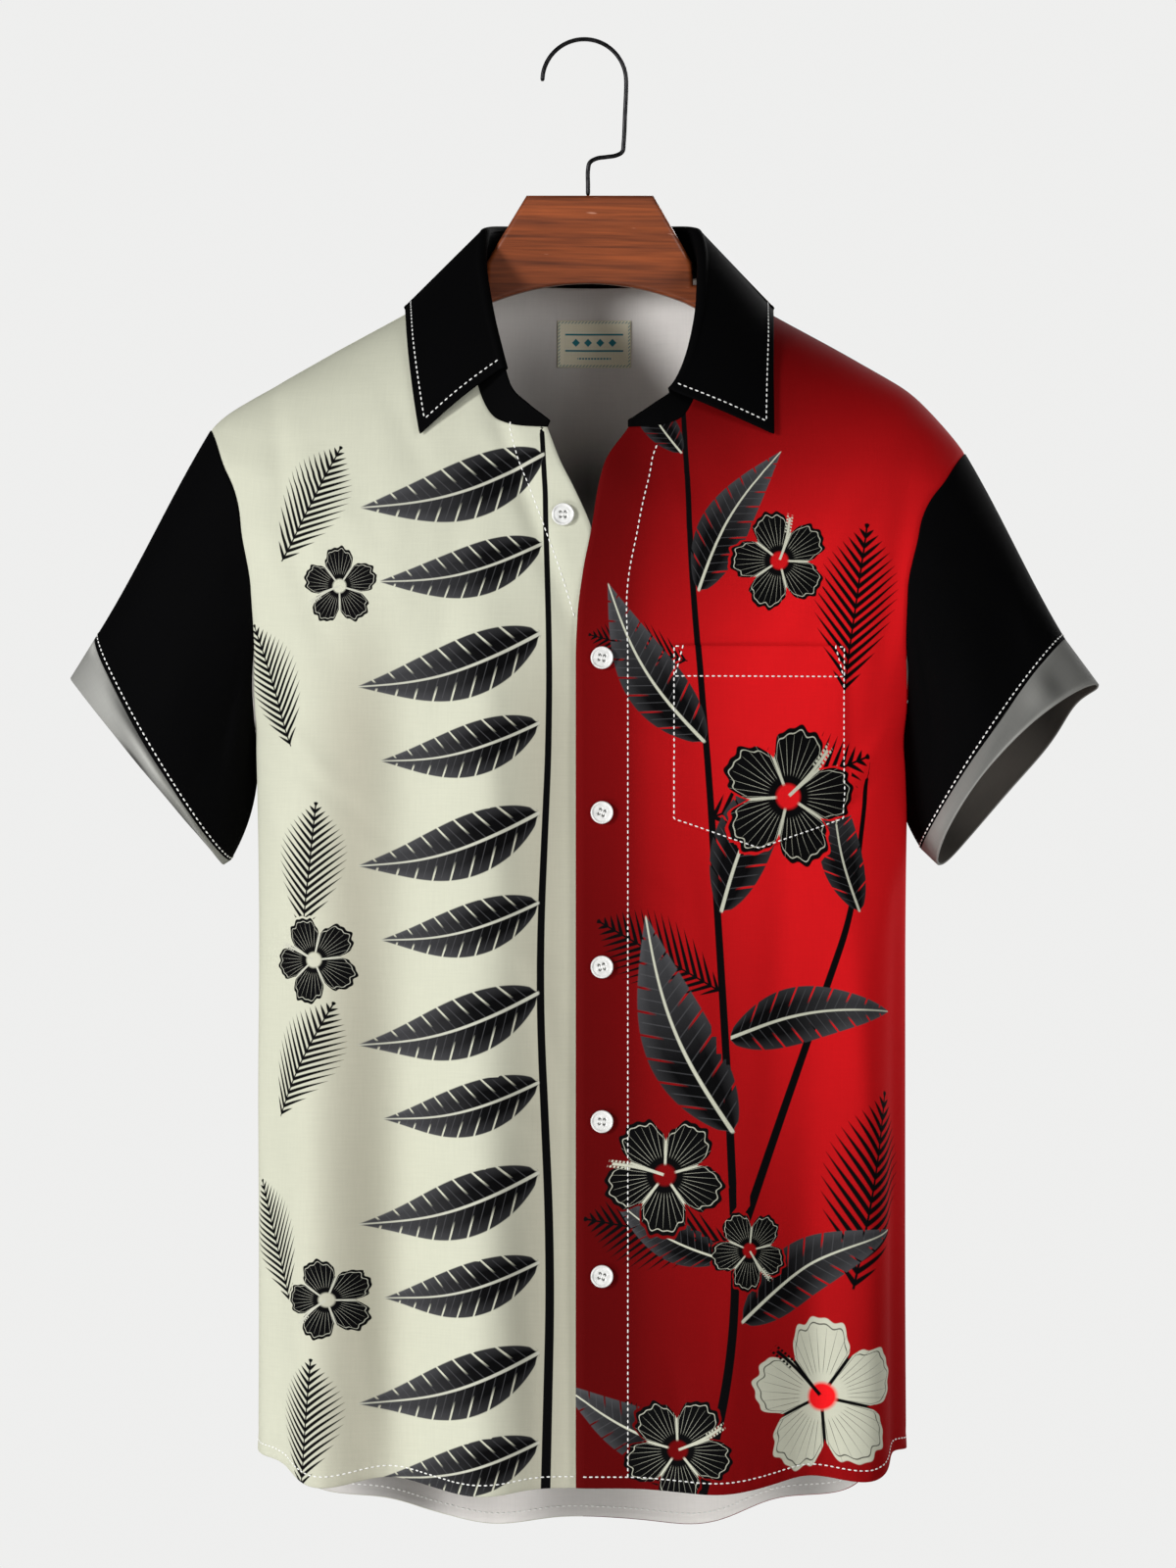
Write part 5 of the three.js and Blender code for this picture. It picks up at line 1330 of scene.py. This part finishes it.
def shares(rows, columns):
    row, column = counted(rows, columns)
    return column / columns, row / rows


def valley(points, normals, seams):
    """Lowers the outside beside sewn edges. seams says which of the four edges are sewn."""
    across, along = row_lengths(points)
    distances = {"start": across, "end": across[:, -1:] - across, "high": along[-1:] - along}
    far = np.minimum.reduce([distances[edge] for edge in seams])
    return points - normals * (SEAM_VALLEY.deep * bell(far / SEAM_VALLEY.wide))[..., None]


def panel_grid(fine, columns):
    """Share across, row counted up from the hem, and share of the part above the underarm."""
    fine_rows, fine_columns = fine
    u, _ = shares((LOWER_ROWS + UPPER_ROWS) * fine_rows, columns * fine_columns)
    row = counted(u.shape[0] - 1, u.shape[1] - 1)[0] / fine_rows
    return u, row, (row - LOWER_ROWS) / UPPER_ROWS


def trunk_cloth(name, surface, places, seams, valleys, looks, slot):
    """A front or the back. seams are the sewn places, what gives a side's normals there, the side
    and the places' shares along it."""
    angle, down = places[..., 0], places[..., 1]
    points, normals = surface(angle, down), trunk_normal(surface, angle, down)
    for sewn, partner, side, at in seams:
        normals[sewn] = mitred(normals[sewn], partner(side, at[sewn], 0 * at[sewn]))
    coords, given = printed(name, angle, down)
    if name == "back":
        # The back's inside gets painted light and shade.
        given["fold"] = back_painted_light_and_shade(points[..., 0], down)
    points = valley(points, normals, valleys)
    return shell(name, points, normals, CLOTH, looks, slot, coords, attributes=given)


sleeve_normal, cuff_normal = partial(tube_normal, sleeve_point), partial(tube_normal, cuff_point)


def front(side):
    u, row, above = panel_grid(FINE.front, FRONT_COLUMNS)
    at = SHOULDER_AT * (above - NECK_SHARE) / (1 - NECK_SHARE)
    seams = (
        ((u == 1) & (above >= 0), sleeve_normal, side, above / 2),
        ((u == 0) & (above >= NECK_SHARE), stand_normal, side, at),
    )
    looks, slot = ([RED_PRINT, REVERSE], "red_cloth") if side > 0 else ([IVORY_PRINT, REVERSE], "ivory_cloth")
    surface, places = partial(front_point, side), front_places(side, u, row)
    return trunk_cloth("front_" + side_word(side), surface, places, seams, ("end", "high"), looks, slot)


def back():
    u, row, above = panel_grid(FINE.back, 2 * BACK_COLUMNS)
    across = 2 * u - 1
    neck = (above == 1) & (np.abs(across) <= BACK_NECK_SHARE)
    at = mix(1, SHOULDER_AT, np.abs(across) / BACK_NECK_SHARE)
    seams = []
    for side in (-1, 1):
        seams.append(((across == side) & (above >= 0), sleeve_normal, side, 1 - above / 2))
        seams.append((neck & (side * across >= 0), stand_normal, side, at))
    looks = [BACK_PRINT, BACK_REVERSE]
    return trunk_cloth(
        "back", back_point, back_places(across, row), seams, ("start", "end", "high"), looks, "ivory_cloth"
    )


def tube_cloth(kind, surface, side, thick, looks, slot, partners, **attributes):
    """A sleeve or a cuff. partners give the normals of what its ends are sewn to."""
    columns = SLEEVE_COLUMNS * FINE.tube
    row, column = counted(ROWS[kind], columns - 1)
    turn, s = column / columns, row / ROWS[kind]
    points, normals = surface(side, turn, s), tube_normal(surface, side, turn, s)
    for edge, partner in partners.items():
        normals[edge] = mitred(normals[edge], partner(turn[0]))
    attributes = {name: values(turn, s) for name, values in attributes.items()}
    name = f"{kind}_{side_word(side)}"
    return shell(name, points, normals, thick, looks, slot, tube=True, attributes=attributes)


def sleeve(side):
    def panels(turn):
        places, on_front = armhole_places(side, turn)
        return on_panels(side, on_front, places, normals=True)

    partners = {0: panels, -1: lambda turn: cuff_normal(side, turn, 0 * turn)}
    return tube_cloth("sleeve", sleeve_point, side, CLOTH, [BLACK, REVERSE], "black_cloth", partners)


def cuff(side):
    partners = {0: lambda turn: sleeve_normal(side, turn, 0 * turn + 1)}
    # The cuffs' tone attribute carries their painted highlights and shade.
    return tube_cloth("cuff", cuff_point, side, BAND, [CUFF_OUT, CUFF_IN], "reverse_cloth", partners,
                      tone=lambda turn, s: 1 + bells(CUFF_PAINTED_LIGHT_AND_SHADE[side], turn, s))


def both_sides(values, side, *places):
    """values(side, *places), each place with its own side."""
    return np.where((side > 0)[..., None], values(1, *places), values(-1, *places))


def collar_grid(rows, skips, fine, point, normal):
    """Sides, places along and points and normals of a collar piece, from the right front round."""
    right, left = NECK_PIECES - skips[-1], NECK_PIECES - skips[1]
    p = np.arange((right + left) * fine + 1) / fine
    p, up = np.broadcast_arrays(p, np.arange(rows + 1)[:, None] / rows)
    side, at = np.where(p < right, -1, 1), 1 - np.abs(p - right) / NECK_PIECES
    return side, at, both_sides(point, side, at, up), both_sides(normal, side, at, up)


def collar_stand():
    grid = collar_grid(ROWS.stand, {1: 0, -1: 0}, FINE.stand, stand_point, stand_normal)
    side, at, points, normals = grid

    def panels(side, at):
        return on_panels(side, at <= SHOULDER_AT, neckline(side, at), normals=True)

    normals[0] = mitred(normals[0], both_sides(panels, side[0], at[0]))
    normals[-1] = both_sides(neck_outward, side[0], at[0])
    return shell("collar_stand", points, normals, BAND, [BLACK, BLACK], "black_cloth")


def leaf_grid(rows):
    return collar_grid(rows, LEAF_SKIPS, FINE.leaf, leaf_point, leaf_normal)[2:]


def collar_leaf():
    return shell("collar_leaf", *leaf_grid(ROWS.leaf), LEAF_WALL, [BLACK, BLACK], "black_cloth")


def lifted(surface, angle, down, off):
    """Points off a surface, moved out along the normals, and the normals."""
    normal = trunk_normal(surface, angle, down)
    return surface(angle, down) + normal * np.asarray(off)[..., None], normal


def on_front(side, x, down, off):
    return lifted(partial(front_point, side), angle_at(x, down), down, off)


def pocket_low(u):
    return POCKET.corner + POCKET.point * (1 - np.abs(2 * u - 1))


def pocket_off(x, down):
    """How far the pocket's outside stands off the front."""
    u = (x - POCKET.x0) / (POCKET.x1 - POCKET.x0)
    v = (down - POCKET.top) / (pocket_low(u) - POCKET.top)
    edge = np.minimum(np.minimum(x - POCKET.x0, POCKET.x1 - x), pocket_low(u) - down)
    sunk = POCKET_EDGE.drop * bell(edge / POCKET_EDGE.wide)
    hem = 1 - smooth(POCKET_HEM.down - POCKET_HEM.step, POCKET_HEM.down + POCKET_HEM.step, down)
    mouth = POCKET_MOUTH.mm * np.sin(math.pi * u) * (1 - smooth(*POCKET_MOUTH.fade, v))
    return POCKET_OFF - sunk + POCKET_HEM.lift * hem + mouth


def pocket():
    u, v = shares(*POCKET_GRID)
    x, down = mix(POCKET.x0, POCKET.x1, u), mix(POCKET.top, pocket_low(u), v)
    points, normals = on_front(1, x, down, pocket_off(x, down))
    coords, given = printed("front_left", angle_at(x, down), down)
    looks = [RED_PRINT, REVERSE]
    return shell("pocket", points, normals, POCKET_WALL, looks, "red_cloth", coords, attributes=given)


def label():
    u, v = shares(*LABEL_GRID)
    down = LABEL.top + LABEL.height * v
    angle = math.pi - angle_at(mix(LABEL.x0, LABEL.x1, u), down)
    points, normals = lifted(back_point, angle, down, -(CLOTH + LABEL.off))
    coords = stacked((u - 0.5) * (LABEL.x1 - LABEL.x0), v * LABEL.height)
    # The face of the label looks inwards, so the outside of its wall is the blank side.
    looks = [LABEL_BLANK, LABEL_LOOK]
    return shell("label", points, normals, LABEL.thick, looks, "label_cloth", coords)


# ---------------------------------------------------------------- buttons
BUTTON_PROFILE = ((0, 1.9), (5.4, 1.9), (6.1, 2.45), (6.5, 2.6), (6.85, 2.5), (7.15, 1.9), (7.2, 1.2),
                  (6.7, 0.25), (5.8, 0.0), (0, 0.0))
BUTTON_TURNS = (0, 9, 22, -14, 5, 17)
BUTTON_GRID = (58, 64)
PIT = Sizes(deep=1.5, edge=(0.75, 1.15))


def around(columns):
    return ROUND * np.arange(columns) / columns


def closed_rings(ids):
    """Faces of rings of vertices in a row, each end closed to one of the two vertices after them."""
    faces = list(cells(ids, True))
    for ring, end in ((ids[0], ids.size), (ids[-1][::-1], ids.size + 1)):
        faces += [(b, a, end) for a, b in zip(ring, np.roll(ring, -1), strict=True)]
    return faces


def fix_winding(made):
    work = bmesh.new()
    work.from_mesh(made.data)
    bmesh.ops.recalc_face_normals(work, faces=work.faces)
    work.to_mesh(made.data)
    work.free()


def button_frame(index):
    side, x, down = BUTTONS[index]
    point, normal = (row[0] for row in on_front(side, np.array([x]), np.array([down]), BUTTON.gap))
    level = unit(np.cross(normal, np.array([0, 0, 1.0])))
    upright = np.cross(level, normal)
    turn = math.radians(BUTTON_TURNS[index])
    c, s = math.cos(turn), math.sin(turn)
    return point, level * c + upright * s, upright * c - level * s, normal


def button(index):
    """A four-holed button: the profile turned round, with rounded edges and sunk holes."""
    origin, level, upright, normal = button_frame(index)
    rows, columns = BUTTON_GRID
    radius, height = np.split(along_points(BUTTON_PROFILE, rows), 2, axis=1)
    x, y = radius * np.cos(around(columns)), radius * np.sin(around(columns))
    apart = np.min([np.hypot(x - BUTTON.hole_at * math.cos(at), y - BUTTON.hole_at * math.sin(at))
                    for at in around(4) + math.pi / 4], axis=0)
    pit = 1 - smooth(*(BUTTON.hole * share for share in PIT.edge), apart)
    pit[rows // 2 :] = 0
    place = stacked(x, y, height - PIT.deep * pit)
    points = origin + sum(place[..., [i]] * axis for i, axis in enumerate((level, upright, normal)))

    def picked(values):
        return np.concatenate([values[1:-1].reshape(-1, *values.shape[2:]), values[[0, -1], 0]])

    faces = closed_rings(np.arange((rows - 2) * columns).reshape(-1, columns))
    given = {"pit": picked(pit), "cloth": picked(stacked(x, y, 0))}
    made = new_mesh(f"button_{index + 1}_pearl", picked(points), faces, [PEARL], attributes=given)
    fix_winding(made)
    return finished(made, f"button_{index + 1}")


# ---------------------------------------------------------------- thread
STITCH = Sizes(long=2.4, pitch=3.8, wide=0.95, high=0.6, look=0.4)
STITCH_RINGS = ((-0.86, 0.62), (-0.4, 1.0), (0.4, 1.0), (0.86, 0.62))  # place along it and width
STITCH_SIDES = 6
STITCH_OFF, HEM_STITCH_OFF = 0.2, 0.12
STEPS = Sizes(hem=260, sleeve=300, pocket=240)


def along_line(points, normals, pitch):
    """Points, directions and normals at an even pitch along a line."""
    length = np.pad(np.cumsum(np.linalg.norm(np.diff(points, axis=0), axis=-1)), (1, 0))
    count = max(int(length[-1] / pitch), 1)
    at = (np.arange(count) + 0.5) * length[-1] / count

    def read(values, where):
        return np.stack([np.interp(where, length, values[:, i]) for i in range(3)], -1)

    direction = unit(read(points, at + STITCH.look) - read(points, at - STITCH.look))
    return read(points, at), direction, unit(read(normals, at))


def thread(name, lines, long=STITCH.long, pitch=STITCH.pitch, wide=STITCH.wide):
    """One piece with a row of stitches along each of the lines, given as (points, normals)."""
    turns = around(STITCH_SIDES)
    ids = np.arange(len(STITCH_RINGS) * STITCH_SIDES).reshape(-1, STITCH_SIDES)
    one = closed_rings(ids)
    points, faces, start = [], [], 0
    for line in lines:
        for centre, direction, normal in zip(*along_line(*line, pitch), strict=True):
            side = unit(np.cross(normal, direction))
            ring = np.outer(np.cos(turns), side) * wide / 2
            ring = ring + np.outer(np.sin(turns), normal) * STITCH.high / 2
            points += [centre + direction * (long / 2 * at) + ring * share for at, share in STITCH_RINGS]
            points.append(centre + np.outer((-1, 1), direction) * long / 2)
            faces += [[start + i for i in face] for face in one]
            start += ids.size + 2
    fix_winding(new_mesh(name, np.concatenate(points), faces, [THREAD_WHITE]))


def front_line(side, places, off, steps):
    """A line on a front through the given (x, down) corners."""
    places = np.array(places, float)
    length = np.pad(np.cumsum(np.hypot(*np.diff(places, axis=0).T)), (1, 0))
    at = np.linspace(0, length[-1], steps)
    x, down = np.interp(at, length, places[:, 0]), np.interp(at, length, places[:, 1])
    return on_front(side, x, down, off(x, down) if callable(off) else np.full(steps, off))


# Each placket's stitches: their top and low end, how many places they run through, and steps.
PLACKET_STITCHES = {1: (262, 918, 220, 400), -1: (243, 372, 60, 160)}
# The hem's stitches start a little inside a front's edge as it is below the hem's side, and end
# short of the side seams, in radians.
HEM_STITCHES = Sizes(below=12, inside=math.radians(0.6), short=0.03)


def placket_line(side):
    *span, steps = PLACKET_STITCHES[side]
    downs, word = np.linspace(*span), side_word(side)
    inner = FRONT_EDGE(word, downs) + BAND_WIDE(word, downs) + STITCH_OFF
    return front_line(side, stacked(side * inner, downs), STITCH_OFF, steps)


def hem_line(surface, low, high, off=HEM_STITCH_OFF):
    angle = np.linspace(low, high, STEPS.hem)
    return lifted(surface, angle, hem_down(angle) - HEM.deep, off)


def hem_lines():
    lines = []
    for side in (1, -1):
        edge = edge_place(side, HEM_SIDE_DOWN + HEM_STITCHES.below)[..., 0]
        start, end = edge + side * HEM_STITCHES.inside, side * (QUARTER - HEM_STITCHES.short)
        lines.append(hem_line(partial(front_point, side), start, end))
    start = QUARTER + HEM_STITCHES.short
    for off in (HEM_STITCH_OFF, -(CLOTH + HEM_STITCH_OFF)):
        lines.append(hem_line(back_point, start, ROUND - start, off))
    return lines


# How far the pocket's stitches are from its edges, and the triangles that hold its corners.
POCKET_STITCHES = Sizes(side=1.4, top=0.6, corner=1.0, bar=(5.5, 0.8, 1))


def pocket_lines():
    inset, (wide, foot, short) = POCKET_STITCHES.side, POCKET_STITCHES.bar
    ends = (POCKET.x0 + inset, 1), (POCKET.x1 - inset, -1)
    top, corner = POCKET.top + POCKET_STITCHES.top, POCKET.corner - POCKET_STITCHES.corner
    x0, x1, hem = ends[0][0], ends[1][0], POCKET_HEM.down
    point = ((x0 + x1) / 2, POCKET.corner + POCKET.point - inset)
    routes = [((x0, top), (x0, corner), point, (x1, corner), (x1, top)), ((x0, hem), (x1, hem))]
    routes += [((x, top), (x + inward * wide, top), (x + inward * foot, hem - short)) for x, inward in ends]

    def off(x, down):
        return pocket_off(x, down) + STITCH_OFF

    return [front_line(1, route, off, STEPS.pocket) for route in routes]


COLLAR_INSET = 5.6  # of the top-stitching from the leaf's edge
COLLAR_LEVEL, COLLAR_FROM = -8, 36  # the row that the ends are measured on, and the ends' first row


def collar_lines():
    """Top-stitching on the leaf: along its outer edge all round, and up both front edges."""
    points, normals = leaf_grid(2 * ROWS.leaf)
    across, along = row_lengths(points)
    rows, columns = points.shape[:2]
    left = (along[-1] - along)[::-1]
    at = np.array([np.interp(COLLAR_INSET, left[:, c], np.arange(rows)[::-1]) for c in range(columns)])
    low, index = np.floor(at).astype(int), np.arange(columns)
    high, share = np.minimum(low + 1, rows - 1), (at - low)[:, None]
    level = across[COLLAR_LEVEL]
    first = np.searchsorted(level, COLLAR_INSET)
    last = columns - 1 - np.searchsorted(level[-1] - level[::-1], COLLAR_INSET)
    ring = [mix(values[low, index], values[high, index], share) for values in (points, normals)]
    lines = [[values[first : last + 1] for values in ring]]
    for end, order in ((first, slice(None)), (last, slice(None, None, -1))):
        line = []
        for r in range(COLLAR_FROM, int(at[end]) + 1):
            c = np.interp(COLLAR_INSET, np.abs(across[r] - across[r, order][0])[order], index[order])
            k = int(c)
            line.append((mix(points[r, k], points[r, min(k + 1, columns - 1)], c - k), normals[r, k]))
        lines.append(np.array(line).swapaxes(0, 1))
    return [(p + n * STITCH_OFF, n) for p, n in lines]


SLEEVE_STITCHES = 3.6  # millimetres from the sleeve's edge


def sleeve_line(side):
    turn = np.linspace(0, 1, STEPS.sleeve)
    s = np.full(turn.shape, 1 - SLEEVE_STITCHES / SLEEVE_MM[1])
    normal = sleeve_normal(side, turn, s)
    return sleeve_point(side, turn, s) + normal * STITCH_OFF, normal


def stitches():
    for side in (1, -1):
        thread("stitches_placket_" + side_word(side), [placket_line(side)])
    thread("stitches_hem", hem_lines())
    thread("stitches_pocket", pocket_lines())
    thread("stitches_collar", collar_lines())
    for side in (1, -1):
        thread("stitches_sleeve_" + side_word(side), [sleeve_line(side)])


BUTTON_THREAD = {"long": 3.1, "pitch": 3.2, "wide": 0.7}
BUTTON_THREAD_AT = Sizes(past=1.15, off=1.75)


def button_threads():
    lines = []
    reach = BUTTON.hole_at * math.cos(math.pi / 4)
    ends = np.array([[-1], [1]]) * reach * BUTTON_THREAD_AT.past
    for index in range(len(BUTTONS)):
        origin, level, upright, normal = button_frame(index)
        for across in (-reach, reach):
            line = origin + level * across + upright * ends + normal * BUTTON_THREAD_AT.off
            lines.append((line, np.array([normal, normal])))
    thread("button_threads", lines, **BUTTON_THREAD)


# ---------------------------------------------------------------- the hanger
WOOD = Sizes(thick=14, bevel=3, block_top=99.5, seat=4.6, inset=0.8)
BLOCK = {1: (42, 67), -1: (39.5, 65.5)}  # half-width at the top and low down
BLOCK_LOW = 142.5
BLOCK_FOOT = Sizes(out=0.6, drop=1.2)
ARM = Sizes(root=77, end=203, deep_at_end=22.4, deep_at_root=21.4, under_from=179, under_to=70)
ARM_END = ((6, 0), (1.5, 4.5), (0, 10), (2, 15.5), (8, 18.5))
ARCH = Sizes(down=156, drop=14, half=66, start=62)
HOOK = Sizes(wire=1.4, eye=27, eye_x=-2.4, tip=(0.5, 0.85, 0.97), grid=(220, 20))
HOOK_BENDS = (
    (0, 99.4), (0, 92), (0, 83), (1.2, 78), (5.5, 75.4), (12, 74.4), (18.1, 73.4), (22.1, 71),
    (23, 65), (23.8, 48),
)


HANGER_STEPS = Sizes(top=40, under=28, arch=18, halvings=40, eye=15, bevel=5)


def ridge_down(x):
    """Where the shoulder seam's ridge lies at x, by halving."""
    low, high = np.full(np.shape(x), float(NECK_DOWN)), np.full(np.shape(x), float(TIP_DOWN))
    for _ in range(HANGER_STEPS.halvings):
        middle = (low + high) / 2
        above = TRUNK("half", middle) < x
        low, high = np.where(above, middle, low), np.where(above, high, middle)
    return low


def arm_top(x):
    return ridge_down(x) + WOOD.seat


def hanger_half(side):
    block_top, block_low = BLOCK[side]
    end_x = ARM.end - ARM_END[0][0]
    top = np.linspace(ARM.root, end_x, HANGER_STEPS.top)
    under = np.linspace(ARM.under_from, ARM.under_to, HANGER_STEPS.under)
    share = (ARM.under_from - under) / (ARM.under_from - ARM.under_to)
    deep = mix(ARM.deep_at_end, ARM.deep_at_root, share)
    arch = np.linspace(ARCH.start, 0, HANGER_STEPS.arch)
    return np.concatenate([
        [(block_top, WOOD.block_top), (block_low, BLOCK_LOW)],
        [(block_low + BLOCK_FOOT.out, arm_top(NECK_HALF) + BLOCK_FOOT.drop)],
        stacked(top, arm_top(top)),
        [(ARM.end - inward, arm_top(end_x) + below) for inward, below in ARM_END[1:]],
        stacked(under, ridge_down(np.maximum(under, NECK_HALF)) + deep),
        stacked(arch, ARCH.down + ARCH.drop * (arch / ARCH.half) ** 2),
    ])


def hanger_board():
    """The bow-shaped board: its outline thickened, with rounded edges."""
    outline = np.concatenate([hanger_half(1), (hanger_half(-1)[:-1] * [-1, 1])[::-1]])
    half = WOOD.thick / 2
    front_face = stacked(outline[:, 0], -half, -outline[:, 1])
    made = new_mesh("hanger_board", front_face, [range(len(outline))], [STAINED_WOOD])
    work = bmesh.new()
    work.from_mesh(made.data)
    moved = bmesh.ops.extrude_face_region(work, geom=work.faces[:])
    far = [v for v in moved["geom"] if isinstance(v, bmesh.types.BMVert)]
    bmesh.ops.translate(work, verts=far, vec=(0, 2 * half * MM, 0))
    bmesh.ops.recalc_face_normals(work, faces=work.faces)
    rims = [e for e in work.edges if len(e.link_faces) == 2 and any(len(f.verts) > 4 for f in e.link_faces)]
    bmesh.ops.bevel(work, geom=rims, offset=WOOD.bevel * MM, segments=HANGER_STEPS.bevel,
                    profile=0.5, affect="EDGES", clamp_overlap=True)
    big = [f for f in work.faces if len(f.verts) > 8]
    bmesh.ops.inset_region(work, faces=big, thickness=WOOD.inset * MM)
    for f in work.faces:
        f.smooth = True
    work.to_mesh(made.data)
    work.free()
    return finished(made, "hanger_wood")


def catmull(knots, t):
    """A point of the centripetal curve through the knots."""
    i = min(int(t), len(knots) - 2)
    p1, p2 = knots[i], knots[i + 1]
    p0 = knots[i - 1] if i > 0 else 2 * p1 - p2
    p3 = knots[i + 2] if i + 2 < len(knots) else 2 * p2 - p1
    d1, d2, d3 = (max(np.linalg.norm(b - a) ** 0.5, 1e-4) for a, b in ((p0, p1), (p1, p2), (p2, p3)))
    m1 = (p1 - p0) / d1 - (p2 - p0) / (d1 + d2) + (p2 - p1) / d2
    m2 = (p2 - p1) / d2 - (p3 - p1) / (d2 + d3) + (p3 - p2) / d3
    return hermite(p1, m1 * d2, p2, m2 * d2, t - i)


def hanger_hook():
    """The wire hook: a stem, a step to the side, a straight rise and the open eye."""
    rows, columns = HOOK.grid
    arc = np.linspace(0, math.pi, HANGER_STEPS.eye)
    eye = stacked(HOOK.eye_x + HOOK.eye * np.cos(arc), HOOK.eye * (1 - np.sin(arc)) - HOOK.wire)
    knots = np.concatenate([HOOK_BENDS, eye])
    line = np.array([catmull(knots, t) for t in np.linspace(0, len(knots) - 1, rows)])
    points = stacked(line[:, 0], 0, -line[:, 1])
    side = np.array([0, 1.0, 0])
    across = np.cross(unit(np.gradient(points, axis=0)), side)
    radius = np.full((rows, 1, 1), HOOK.wire)
    for i, share in enumerate(HOOK.tip):
        radius[[i, -1 - i]] *= share
    c, s = (wave(around(columns))[:, None] for wave in (np.cos, np.sin))
    rings = points[:, None] + radius * (c * side + s * across[:, None])
    ids = np.arange(rows * columns).reshape(rows, columns)
    faces = [*cells(ids, True), ids[0][::-1], ids[-1]]
    made = new_mesh("hook_wire", rings.reshape(-1, 3), faces, [DARK_WIRE])
    fix_winding(made)
    return finished(made, "hanger_hook")


# ---------------------------------------------------------------- build
FRONTS = {side: front(side) for side in (1, -1)}
BACK = back()
SLEEVES = {side: sleeve(side) for side in (1, -1)}
CUFFS = {side: cuff(side) for side in (1, -1)}
STAND, LEAF_CLOTH = collar_stand(), collar_leaf()
POCKET_CLOTH, LABEL_CLOTH = pocket(), label()
for number in range(len(BUTTONS)):
    button(number)
hanger_board()
hanger_hook()
stitches()
button_threads()

# ---------------------------------------------------------------- stage
FLOOR = ((-3, -4, -2.1), (3, -4, -2.1), (3, 2.5, -2.1), (-3, 2.5, -2.1))
WORLD = Sizes(ambient=0.13, seen=0.86)
AIM = Vector((0, 0, -0.5))
LIGHTS = (
    ("key", (-3.7, -3.5, 0.55), (1.1, 1.1), 190),
    ("fill", (3.3, -4.0, 0.6), (2.0, 2.0), 80),
    ("low", (-2.6, -1.9, -1.7), (0.8, 0.6), 34),
    ("rear", (2.0, 3.2, 1.2), (2.0, 2.0), 100),
)
CAMERA = Sizes(place=(0.0, -6.0, -0.478), lens=214.0, sensor=36)


def soft_light(name, place, size, watts):
    lamp = bpy.data.lights.new(name, "AREA")
    lamp.shape, lamp.size, lamp.size_y = "RECTANGLE", *size
    lamp.energy = watts
    made = placed(name, lamp)
    made.location = place
    made.rotation_euler = (AIM - Vector(place)).to_track_quat("-Z", "Y").to_euler()


def stage():
    scene = bpy.context.scene
    mesh = bpy.data.meshes.new("floor")
    mesh.from_pydata(FLOOR, [], [(0, 1, 2, 3)])
    mesh.materials.append(speckled("pale_floor", 0.9, 3.0, (0.8, 0.8, 0.79), (0.84, 0.84, 0.83)))
    placed("floor", mesh)
    world = bpy.data.worlds.new("pale_room")
    world.use_nodes = True
    scene.world = world
    tree = world.node_tree
    background = tree.nodes["Background"]
    background.inputs["Color"].default_value = (1, 1, 0.992, 1)
    seen = tree.nodes.new("ShaderNodeLightPath")
    choose = tree.nodes.new("ShaderNodeMix")
    choose.data_type = "FLOAT"
    for slot, value in ((0, seen.outputs["Is Camera Ray"]), (2, WORLD.ambient), (3, WORLD.seen)):
        feed(choose.inputs[slot], value)
    feed(background.inputs["Strength"], choose.outputs[0])
    for light in LIGHTS:
        soft_light(*light)
    lens = bpy.data.cameras.new("camera")
    lens.lens, lens.sensor_width, lens.sensor_fit = CAMERA.lens, CAMERA.sensor, "AUTO"
    camera = placed("camera", lens)
    camera.location = CAMERA.place
    camera.rotation_euler = (QUARTER, 0, 0)
    scene.camera = camera
    scene.view_settings.view_transform = "Standard"


stage()
